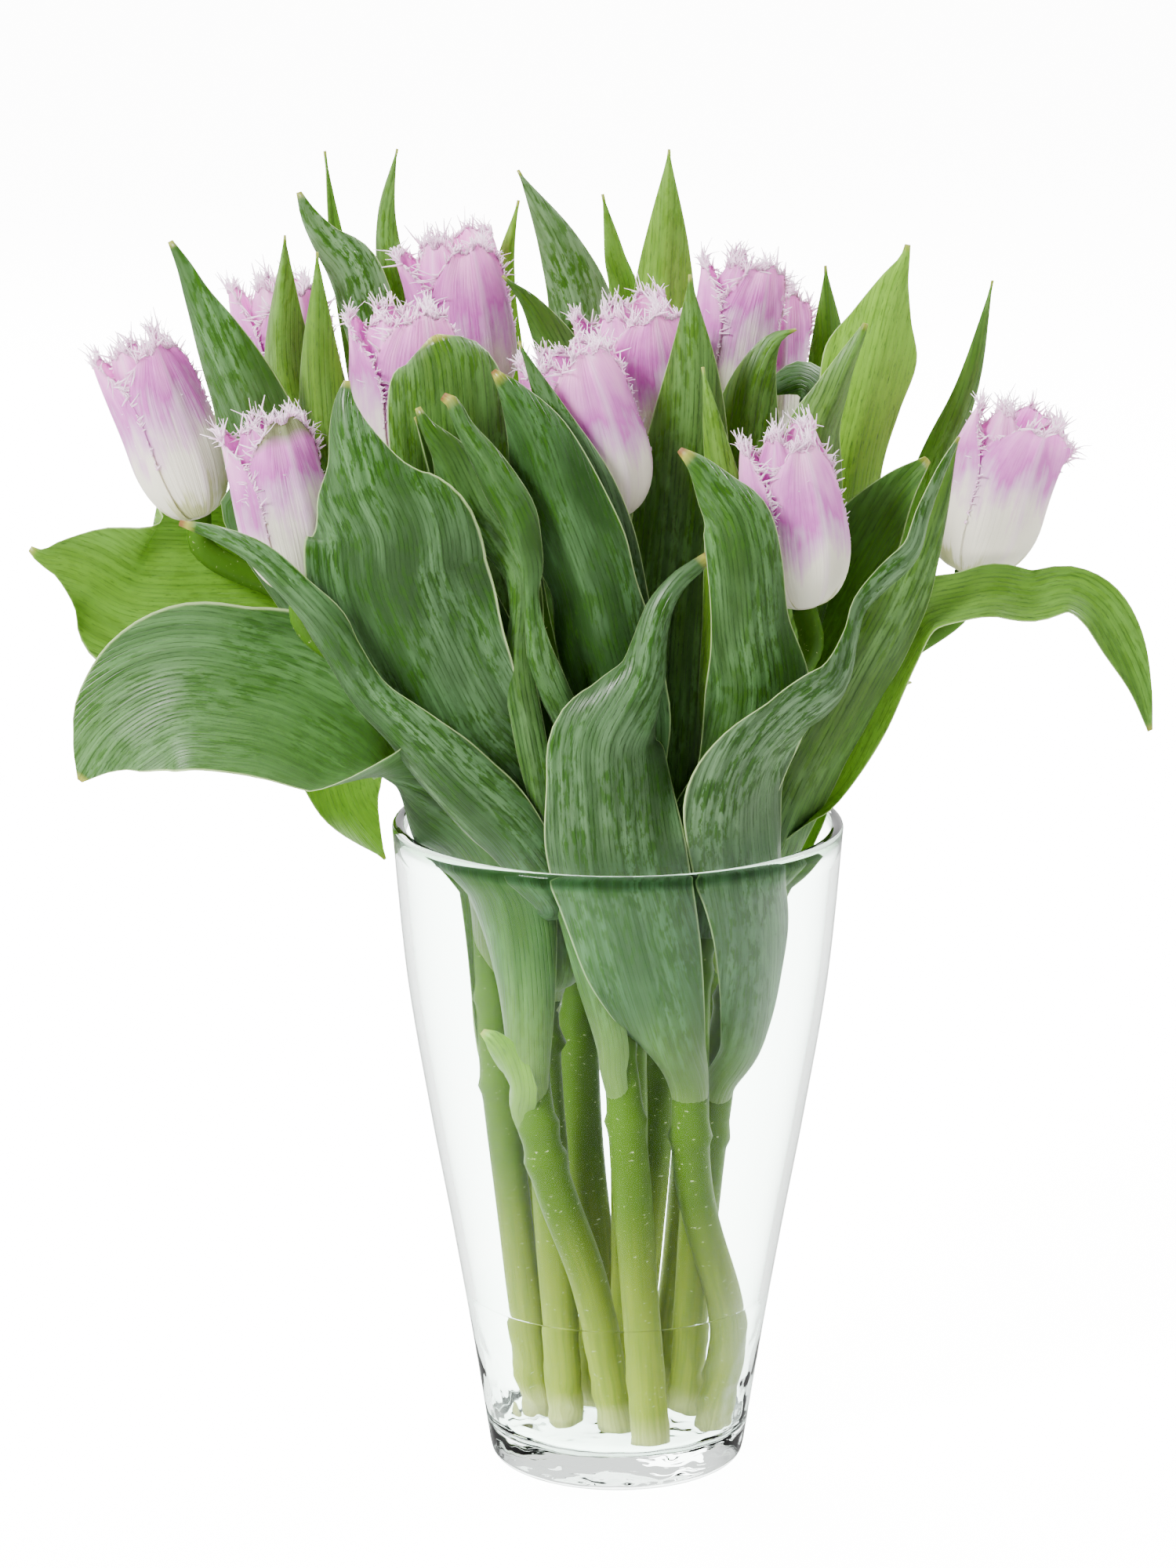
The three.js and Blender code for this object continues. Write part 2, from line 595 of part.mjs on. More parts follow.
function petalSolid(tulip, index) {
  const whorl = index % 2;
  const turn = new THREE.Matrix4().makeRotationZ((index * Math.PI) / 3);
  const grid = (offset) =>
    petalRows.map((t) =>
      Array.from({ length: petalColumns + 1 }, (_, j) =>
        petalPoint(tulip, whorl, t, (2 * j) / petalColumns - 1, offset).applyMatrix4(turn),
      ),
    );
  const last = petalRows.length - 1;
  const tooth = (i, j) => {
    if (i < last - 1) return null;
    const onTip = i === last;
    if (!onTip && !whorl) return null;
    const t = onTip ? 1 : (petalRows[i] + petalRows[i + 1]) / 2;
    const s = onTip ? (2 * j + 1) / petalColumns - 1 : Math.sign(j);
    const point = petalPoint(tulip, whorl, t, s, 0);
    const way = onTip ? new THREE.Vector3(0, 0, 1) : new THREE.Vector3(point.x, point.y, 18).normalize();
    return point.addScaledVector(way, petal.toothLength).applyMatrix4(turn);
  };
  return shell(grid(petal.thickness / 2), grid(-petal.thickness / 2), tooth);
}

function makeBloom(tulip) {
  const receptacle = solidOf(
    new THREE.LatheGeometry(
      [[0, 0], [4, 0], [7, 3], [0, 5]].map((p) => new THREE.Vector2(...p)),
      6,
    ).rotateX(Math.PI / 2),
  );
  const petals = Array.from({ length: 6 }, (_, index) => petalSolid(tulip, index));
  return fuse([receptacle, ...petals]);
}

function placeBloom(mesh, tulip) {
  const axis = v3(tulip.lean).normalize();
  mesh.quaternion.setFromUnitVectors(new THREE.Vector3(0, 0, 1), axis);
  mesh.position.copy(v3(tulip.head)).addScaledVector(axis, clearance + 0.4);
  return mesh;
}

// ---- the assembly ----
const glass = { color: "#eef4f3", roughness: 0.03, metalness: 0, transparent: true, opacity: 0.3 };
const clearWater = { color: "#eaf3f0", roughness: 0.02, metalness: 0, transparent: true, opacity: 0.3 };
const leafGreen = { color: "#4f7f45", roughness: 0.5, metalness: 0 };
const petalLilac = { color: "#dba8d6", roughness: 0.55, metalness: 0 };

const vaseOfTulips = new THREE.Group();
vaseOfTulips.add(meshOf(makeVase(), "vase", glass));
vaseOfTulips.add(meshOf(makeWater(), "water", clearWater));
for (const tulip of tulips) {
  vaseOfTulips.add(meshOf(makeLeafyStem(tulip), `stem_${tulip.name}`, leafGreen));
  vaseOfTulips.add(placeBloom(meshOf(makeBloom(tulip), `bloom_${tulip.name}`, petalLilac), tulip));
}

export default vaseOfTulips;
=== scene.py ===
# Eleven fringed tulips in a clear glass vase with a little water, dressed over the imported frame.
# Shapes are worked out in millimetres and turned to metres when a mesh is made.
import math

import bpy
import numpy as np
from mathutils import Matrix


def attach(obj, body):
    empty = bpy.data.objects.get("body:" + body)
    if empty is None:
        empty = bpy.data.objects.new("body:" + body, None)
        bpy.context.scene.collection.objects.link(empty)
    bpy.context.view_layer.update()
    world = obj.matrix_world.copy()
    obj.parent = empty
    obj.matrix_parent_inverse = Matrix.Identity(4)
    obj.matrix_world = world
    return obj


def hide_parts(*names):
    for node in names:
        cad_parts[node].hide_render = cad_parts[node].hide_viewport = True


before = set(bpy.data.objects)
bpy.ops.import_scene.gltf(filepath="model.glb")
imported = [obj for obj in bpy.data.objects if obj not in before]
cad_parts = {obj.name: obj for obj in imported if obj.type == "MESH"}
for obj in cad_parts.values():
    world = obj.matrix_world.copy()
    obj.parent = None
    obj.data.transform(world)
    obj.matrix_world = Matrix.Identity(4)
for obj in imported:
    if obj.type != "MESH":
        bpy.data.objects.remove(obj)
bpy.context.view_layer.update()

# camera, first, as everything is judged through it
view = {"place": (-0.00988, -1.938, 0.728), "pitch": 75.7, "lens": 138.46}
camera = bpy.data.objects.new("camera", bpy.data.cameras.new("camera"))
camera.location = view["place"]
camera.rotation_euler = (math.radians(view["pitch"]), 0, 0)
camera.data.lens = view["lens"]
camera.data.sensor_width = 36
bpy.context.scene.collection.objects.link(camera)
bpy.context.scene.camera = camera
print("camera placed")


def mix(a, b, t):
    return a + (b - a) * t


def ease(t):
    t = np.clip(t, 0, 1)
    return t * t * (3 - 2 * t)


def unit(v):
    v = np.asarray(v, float)
    return v / np.maximum(np.linalg.norm(v, axis=-1, keepdims=True), 1e-9)


def splineAt(points, t, steady=False):  # a smooth curve through the points, for t from 0 to 1
    p = np.asarray(points, float)
    before, after = (p[0], p[-1]) if steady else (2 * p[0] - p[1], 2 * p[-1] - p[-2])
    p = np.vstack([before, p, after])
    place = np.clip(t, 0, 1) * (len(p) - 3)
    k = np.minimum(place.astype(int), len(p) - 4)
    w = (place - k)[:, None]
    a, b, c, d = p[k], p[k + 1], p[k + 2], p[k + 3]
    m, n = (c - a) / 2, (d - b) / 2
    return b + m * w + (3 * (c - b) - 2 * m - n) * w**2 + (2 * (b - c) + m + n) * w**3


def evenSpline(points, share):  # the curve at shares of its length: places, directions, length and t
    t = np.linspace(0, 1, 401)
    run = np.append(0, np.cumsum(np.linalg.norm(np.diff(splineAt(points, t), axis=0), axis=1)))
    at = np.interp(np.asarray(share) * run[-1], run, t)
    ahead, behind = splineAt(points, np.minimum(at + 1e-3, 1)), splineAt(points, np.maximum(at - 1e-3, 0))
    return splineAt(points, at), unit(ahead - behind), run[-1], at


def splineLength(points):
    return evenSpline(points, [0.0])[2]


class Mould:  # gathers grids of points into one mesh with named values on its points
    def __init__(self):
        self.points, self.faces, self.finishes, self.count = [], [], [], 0
        self.marks = {"place": [], "look": []}

    def add(self, points, faces, finish, place, look):
        points = np.asarray(points, float).reshape(-1, 3)
        self.faces += [(face + self.count).tolist() for face in faces]
        self.finishes += [finish] * len(faces)
        self.points.append(points)
        for name, values in (("place", place), ("look", look)):
            self.marks[name].append(np.broadcast_to(np.asarray(values, float), points.shape))
        self.count += len(points)

    def make(self, name, materials):
        mesh = bpy.data.meshes.new(name)
        mesh.from_pydata((np.vstack(self.points) * 0.001).tolist(), [], self.faces)
        for mark, values in self.marks.items():
            layer = mesh.attributes.new(mark, "FLOAT_VECTOR", "POINT")
            layer.data.foreach_set("vector", np.vstack(values).astype(np.float32).ravel())
        for material in materials:
            mesh.materials.append(material)
        mesh.polygons.foreach_set("material_index", self.finishes)
        mesh.polygons.foreach_set("use_smooth", [True] * len(mesh.polygons))
        mesh.update()
        piece = bpy.data.objects.new(name, mesh)
        bpy.context.scene.collection.objects.link(piece)
        return piece


def gridFaces(rows, columns, closed=False):  # quads of a grid of rows x columns points
    index = np.arange(rows * columns).reshape(rows, columns)
    if closed:
        index = np.hstack([index, index[:, :1]])
    return np.stack([index[:-1, :-1], index[:-1, 1:], index[1:, 1:], index[1:, :-1]], -1).reshape(-1, 4)


def shellFaces(rows, columns):  # two such grids, near then far, joined round their rim
    index = np.arange(rows * columns).reshape(rows, columns)
    near = gridFaces(rows, columns)
    far = near[:, ::-1] + rows * columns
    loop = np.concatenate([index[0, :-1], index[:-1, -1], index[-1, :0:-1], index[:0:-1, 0]])
    after = np.roll(loop, -1)
    rim = np.stack([after, loop, loop + rows * columns, after + rows * columns], -1)
    return np.vstack([near, far, rim])


def circle(sides):  # bearings all round, evenly spaced
    return np.linspace(0, 2 * np.pi, sides, endpoint=False)


def spun(profile, turn, lobes=1.0):  # a profile of radius and height, turned about the upright axis
    profile = np.asarray(profile, float)
    reach = profile[:, :1] * lobes
    return np.stack(np.broadcast_arrays(reach * np.cos(turn), reach * np.sin(turn), profile[:, 1:]), -1)


def tubeFaces(rows, sides):  # a tube of rings with a flat end at each end
    ends = [np.arange(sides)[::-1], np.arange(sides) + (rows - 1) * sides]
    return list(gridFaces(rows, sides, closed=True)) + ends


def linear(text):  # an sRGB hex value as linear red, green, blue and alpha
    parts = [int(text[i:i + 2], 16) / 255 for i in (1, 3, 5)]
    return [c / 12.92 if c <= 0.04045 else ((c + 0.055) / 1.055) ** 2.4 for c in parts] + [1]


def addNode(tree, kind, inputs=None, stops=None, **settings):  # an input is a value, a socket or a whole node
    node = tree.nodes.new("ShaderNode" + kind)
    for name, value in settings.items():
        setattr(node, name, value)
    for name, value in (inputs or {}).items():
        if isinstance(value, bpy.types.Node):
            value = value.outputs[0]  # a node stands for its first output
        if isinstance(value, bpy.types.NodeSocket):
            tree.links.new(value, node.inputs[name])
        else:
            node.inputs[name].default_value = value
    for k, (place, colour) in enumerate(stops or []):
        ramp = node.color_ramp.elements
        stop = ramp[k] if k < 2 else ramp.new(place)
        stop.position, stop.color = place, linear(colour)
    return node


def addGrains(tree, place, finish, kinds, depth=1):  # noises, stretched to their spacings across and along
    noise = {}
    for name, detail, roughness in kinds:
        scale = (1 / finish[name][0], 1 / finish[name][1], depth)
        grain = addNode(tree, "VectorMath", {0: place, 1: scale}, operation="MULTIPLY")
        noise[name] = addNode(tree, "TexNoise", {
            "Vector": grain, "Scale": 1.0, "Detail": detail, "Roughness": roughness})
    return noise


def finishClear(tree, surface, colour):  # a clear surface, which casts only a faint shadow
    clear = addNode(tree, "BsdfTransparent", {"Color": linear(colour)})
    shadow = addNode(tree, "LightPath").outputs["Is Shadow Ray"]
    both = addNode(tree, "MixShader", {0: shadow, 1: surface, 2: clear})
    addNode(tree, "OutputMaterial", {0: both})


def newMaterial(name):
    material = bpy.data.materials.new(name)
    material.use_nodes = True
    material.node_tree.nodes.clear()
    return material, material.node_tree


# A tulip leaf: green tissue under a blue-grey bloom of wax. It rubs off in sharp-edged patches and fine
# scratches, which show the greener, glossier skin. Parallel veins, a thin pale margin and a small yellow tip.
# Light comes through it yellow-green. Spacings are in millimetres, across and along the leaf.
# A high tone gives a bright yellow-green, partly young tissue and partly a painted glow of light from behind.
# Broad darker green bands are partly random tone and partly a painted shade, for the contrast of shadow on
# the leaves.
leafFinish = {
    "waxy": "#4e7745", "deep": "#1d410b", "frost": "#88a680", "youngBacklit": "#84b42c", "inner": "#3c7020",
    "sheath": "#70893c", "rubbed": "#2a540a", "scratch": "#1f3d12", "margin": "#b4cc8c",
    "yellowTip": "#9c9a36", "brownTip": "#7a4a22", "through": "#b0d85c",
    "line": 1.5, "rib": (2.1, 120), "broad": (13, 48), "patch": (2.0, 8), "worn": (15, 30),
    "scratches": (0.6, 5), "rough": 0.46, "glossy": 0.3, "thin": 0.33,
}


def makeLeafMaterial():
    f = leafFinish
    material, tree = newMaterial("waxy tulip leaf")
    place = addNode(tree, "Attribute", attribute_name="place").outputs["Vector"]
    look = addNode(tree, "Attribute", attribute_name="look").outputs["Vector"]
    across, along, side = addNode(tree, "SeparateXYZ", {0: place}).outputs
    tone, tip, edge = addNode(tree, "SeparateXYZ", {0: look}).outputs
    kinds = (("rib", 2, 0.5), ("broad", 3, 0.5), ("patch", 6, 0.68), ("worn", 2, 0.5), ("scratches", 3, 0.6))
    noise = addGrains(tree, place, f, kinds, depth=0)
    # lines 1.5 mm apart, bent a little by the ribs; the real ones are finer and would not show
    bent = addNode(tree, "Math", {0: noise["rib"], 1: 1.6, 2: across}, operation="MULTIPLY_ADD")
    beat = addNode(tree, "Math", {0: bent, 1: f["line"] / 2}, operation="PINGPONG")
    share = {}
    for name, value, low, high, bottom, top in (
            # broad darker bands: partly random tone, partly a painted shade for the contrast of shadow
            ("deep", noise["broad"], 0.4, 0.62, 0, 1), ("inner", side, 0, 1, 0, 0.6),
            # a high tone: bright yellow-green, partly young tissue and partly a painted glow of light from
            # behind
            ("youngBacklit", tone, 0, 1, 0, 1), ("frost", tone, 0, -1, 0, 0.9),
            ("patch", noise["patch"], 0.5, 0.53, 0, 1), ("region", noise["worn"], 0.38, 0.5, 0, 1),
            ("outer", side, 0, 1, 1, 0.65),
            ("freshBacklitGreen", tone, 0, 1, 0, 0.8), ("rib", noise["rib"], 0.42, 0.62, 0, 0.6),
            # the ribs grow quieter where that painted backlight glow is strong
            ("quietInside", side, 0, 1, 1, 0.8), ("quietYoungBacklit", tone, 0.1, 0.6, 1, 0.4),
            ("line", beat, 0.24, 0.05, 0, 1), ("broken", noise["patch"], 0.4, 0.56, 0, 0.95),
            ("scratch", noise["scratches"], 0.61, 0.67, 0, 0.75), ("margin", edge, 0.965, 0.985, 0, 0.8),
            ("sheath", tip, 0, -1, 0, 0.85), ("yellowTip", tip, 0.05, 0.45, 0, 1),
            ("brownTip", tip, 0.45, 0.8, 0, 1)):
        share[name] = addNode(tree, "MapRange", {
            "Value": value, "From Min": low, "From Max": high, "To Min": bottom, "To Max": top})
    for name, first, second in (
            ("bare", "region", "outer"), ("worn", "patch", "bare"), ("calm", "quietInside", "quietYoungBacklit"),
            ("rib", "rib", "calm"), ("line", "line", "broken"), ("paleLine", "line", "calm")):
        share[name] = addNode(tree, "Math", {0: share[first], 1: share[second]}, operation="MULTIPLY")
    # worn patches on a high-toned leaf show a brighter green, partly young tissue and partly painted
    # backlight
    green = addNode(tree, "MixRGB", {
        "Fac": share["freshBacklitGreen"], "Color1": linear(f["rubbed"]), "Color2": linear(f["youngBacklit"])})
    colour = linear(f["waxy"])
    painted = {"worn": green, "rib": linear(f["deep"]), "paleLine": linear(f["scratch"])}
    for name in ("deep", "inner", "youngBacklit", "frost", "worn", "rib", "paleLine", "scratch", "margin", "sheath",
                 "yellowTip", "brownTip"):
        layer = painted[name] if name in painted else linear(f[name])
        colour = addNode(tree, "MixRGB", {"Fac": share[name], "Color1": colour, "Color2": layer})
    height = addNode(tree, "Math", {0: noise["rib"], 1: share["line"]}, operation="SUBTRACT")
    relief = addNode(tree, "Bump", {"Height": height, "Strength": 0.42, "Distance": 0.0008})
    polish = addNode(tree, "MapRange", {
        "Value": share["worn"], "To Min": f["rough"], "To Max": f["glossy"]})
    skin = addNode(tree, "BsdfPrincipled", {
        "Base Color": colour, "Roughness": polish, "IOR": 1.45, "Normal": relief, "Specular IOR Level": 0.5,
        "Sheen Weight": 0.06, "Sheen Roughness": 0.5})
    lit = addNode(tree, "MixRGB", {"Fac": 0.5, "Color1": colour, "Color2": linear(f["through"])})
    through = addNode(tree, "BsdfTranslucent", {"Color": lit})
    both = addNode(tree, "MixShader", {0: f["thin"], 1: skin, 2: through})
    addNode(tree, "OutputMaterial", {0: both})
    return material


# A tulip stem: smooth, juicy and faintly striped, green above and pale where it stands in water.
stemFinish = {
    "upper": "#355a0f", "lower": "#42570c", "foot": "#8b902c", "cut": "#c4bd80", "streak": "#3a560c",
    "scuff": "#b9c48c", "stripe": (0.8, 30), "scuffs": (1.6, 0.9), "roughness": 0.44,
}


def makeStemMaterial():
    f = stemFinish
    material, tree = newMaterial("smooth tulip stem")
    place = addNode(tree, "Attribute", attribute_name="place").outputs["Vector"]
    along = addNode(tree, "SeparateXYZ", {0: place}).outputs[1]
    noise = addGrains(tree, place, f, (("stripe", 3, 0.5), ("scuffs", 3, 0.5)))
    share = {}
    for name, value, low, high, top in (
            ("height", along, 0, 300, 1), ("streak", noise["stripe"], 0.35, 0.65, 0.35),
            ("scuff", noise["scuffs"], 0.68, 0.72, 0.6)):
        share[name] = addNode(tree, "MapRange", {
            "Value": value, "From Min": low, "From Max": high, "To Max": top})
    colour = addNode(tree, "ValToRGB", {"Fac": share["height"]}, stops=[
        (0.0, f["cut"]), (1.0, f["upper"]), (0.04, f["foot"]), (0.3, f["lower"]), (0.7, f["upper"])])
    for name in ("streak", "scuff"):
        colour = addNode(tree, "MixRGB", {
            "Fac": share[name], "Color1": colour, "Color2": linear(f[name])})
    relief = addNode(tree, "Bump", {"Height": noise["stripe"], "Strength": 0.2, "Distance": 0.0003})
    skin = addNode(tree, "BsdfPrincipled", {
        "Base Color": colour, "Roughness": f["roughness"], "IOR": 1.4, "Specular IOR Level": 0.15,
        "Normal": relief, "Subsurface Weight": 0.25, "Subsurface Radius": (0.9, 1.0, 0.4),
        "Subsurface Scale": 0.002})
    addNode(tree, "OutputMaterial", {0: skin})
    return material


# A tulip petal: satin tissue with fine veins, cream at the foot, mauve at mid height, lilac-pink above
# and nearly white in the crystalline fringe. Thin enough for light to come through.
petalFinish = {
    "foot": "#cdcf9c", "cream": "#f4f1e2", "blush": "#e2b2dc", "mauve": "#d673cb", "lilac": "#eb9adf",
    "pale": "#f8bfe9", "fringe": "#fff4fd", "keel": "#f7e6f2", "green": "#7d9a48",
    "vein": (0.9, 22), "cloud": (7, 16), "roughness": 0.5, "thin": 0.45,
}


def makePetalMaterial():
    f = petalFinish
    material, tree = newMaterial("satin tulip petal")
    place = addNode(tree, "Attribute", attribute_name="place").outputs["Vector"]
    look = addNode(tree, "Attribute", attribute_name="look").outputs["Vector"]
    green, height, chance = addNode(tree, "SeparateXYZ", {0: look}).outputs
    level = addNode(tree, "Math", {0: chance, 1: 0.14, 2: height}, operation="MULTIPLY_ADD")
    noise = addGrains(tree, place, f, (("vein", 2, 0.5), ("cloud", 3, 0.5)))
    for name, sway in (("vein", 0.045), ("cloud", 0.13)):
        wander = addNode(tree, "MapRange", {
            "Value": noise[name], "From Min": 0.3, "From Max": 0.7, "To Min": -sway, "To Max": sway})
        level = addNode(tree, "Math", {0: level, 1: wander}, operation="ADD")
    scaled = addNode(tree, "Math", {0: level, 1: 1 / 1.2, 2: -0.06}, operation="MULTIPLY_ADD")
    ramp = addNode(tree, "ValToRGB", {"Fac": scaled}, stops=[
        (0.0, f["foot"]), (1.0, f["fringe"]), (0.07, f["cream"]), (0.27, f["cream"]), (0.43, f["blush"]),
        (0.53, f["mauve"]), (0.66, f["lilac"]), (0.84, f["pale"])])
    # a paler streak runs up the keel of each petal
    across = addNode(tree, "SeparateXYZ", {0: place})
    beside = addNode(tree, "Math", {0: across}, operation="ABSOLUTE")
    keel = addNode(tree, "MapRange", {"Value": beside, "From Min": 1.8, "From Max": 0.3, "To Max": 0.4})
    streaked = addNode(tree, "MixRGB", {"Fac": keel, "Color1": ramp, "Color2": linear(f["keel"])})
    colour = addNode(tree, "MixRGB", {"Fac": green, "Color1": streaked, "Color2": linear(f["green"])})
    relief = addNode(tree, "Bump", {"Height": noise["vein"], "Strength": 0.6, "Distance": 0.0007})
    skin = addNode(tree, "BsdfPrincipled", {
        "Base Color": colour, "Roughness": f["roughness"], "IOR": 1.4, "Normal": relief, "Sheen Weight": 0.15,
        "Sheen Roughness": 0.4})
    through = addNode(tree, "BsdfTranslucent", {"Color": colour})
    both = addNode(tree, "MixShader", {0: f["thin"], 1: skin, 2: through})
    addNode(tree, "OutputMaterial", {0: both})
    return material


# A tulip anther: matt and powdery with pollen, nearly black, on a pale filament.
antherFinish = {"dust": "#4a3540", "seam": "#1e1219", "roughness": 0.9,
                "grain": 1500.0}  # to the metre, so 0.7 mm across; pollen is finer and would not show


def makeAntherMaterial():
    f = antherFinish
    material, tree = newMaterial("powdery anther")
    spot = addNode(tree, "TexCoord").outputs["Object"]
    grain = addNode(tree, "TexNoise", {"Vector": spot, "Scale": f["grain"], "Detail": 2.0})
    colour = addNode(tree, "MixRGB", {
        "Fac": grain, "Color1": linear(f["seam"]), "Color2": linear(f["dust"])})
    relief = addNode(tree, "Bump", {"Height": grain, "Strength": 0.5, "Distance": 0.0002})
    skin = addNode(tree, "BsdfPrincipled", {
        "Base Color": colour, "Roughness": f["roughness"], "Normal": relief})
    addNode(tree, "OutputMaterial", {0: skin})
    return material


# Pressed and fire-polished soda glass: clear with a faint grey-green cast, seen where it is thick.
glassFinish = {
    "wall": "#f0f8f4", "rim": "#93ad97", "shadow": "#f2f8f5", "shine": 0.08,
    "waves": 45.0, "wavesBelow": (0.06, 0.012),  # 22 mm apart, and strongest low in the wall
    "rimFrom": (0.2165, 0.219),
}


def makeGlassMaterial():
    f = glassFinish
    material, tree = newMaterial("clear polished glass")
    spot = addNode(tree, "TexCoord").outputs["Object"]
    height = addNode(tree, "SeparateXYZ", {0: spot}).outputs[2]
    low, rim = [addNode(tree, "MapRange", {"Value": height, "From Min": f[name][0], "From Max": f[name][1]})
                for name in ("wavesBelow", "rimFrom")]
    waves = addNode(tree, "TexNoise", {"Vector": spot, "Scale": f["waves"], "Detail": 2.0})
    uneven = addNode(tree, "Math", {0: waves, 1: low}, operation="MULTIPLY")
    relief = addNode(tree, "Bump", {"Height": uneven, "Strength": 0.5, "Distance": 0.004})
    # the eye looks along the glass at the rim, so its cast is deepest there
    cast = addNode(tree, "MixRGB", {
        "Fac": rim, "Color1": linear(f["wall"]), "Color2": linear(f["rim"])})
    glass = addNode(tree, "BsdfPrincipled", {
        "Base Color": cast, "Roughness": 0.0, "IOR": 1.5, "Transmission Weight": 1.0,
        "Specular Tint": (f["shine"], f["shine"], f["shine"], 1), "Normal": relief})
    finishClear(tree, glass, f["shadow"])
    return material


# Still water: nearly colourless and mirror smooth. It hardly bends what stands in the vase, and a bead does.
waterColour = "#f8fcfa"


def makeWaterMaterial(name, bending, shine):
    material, tree = newMaterial(name)
    water = addNode(tree, "BsdfPrincipled", {
        "Base Color": linear(waterColour), "Roughness": 0.0, "IOR": bending, "Transmission Weight": 1.0,
        "Specular Tint": (shine, shine, shine, 1)})
    finishClear(tree, water, waterColour)
    return material


leafMaterial = makeLeafMaterial()
stemMaterial = makeStemMaterial()
petalMaterial = makePetalMaterial()
antherMaterial = makeAntherMaterial()
glassMaterial = makeGlassMaterial()
waterMaterial = makeWaterMaterial("still tap water", 1.015, 0.12)
beadMaterial = makeWaterMaterial("water bead", 1.333, 1)
print("materials made")
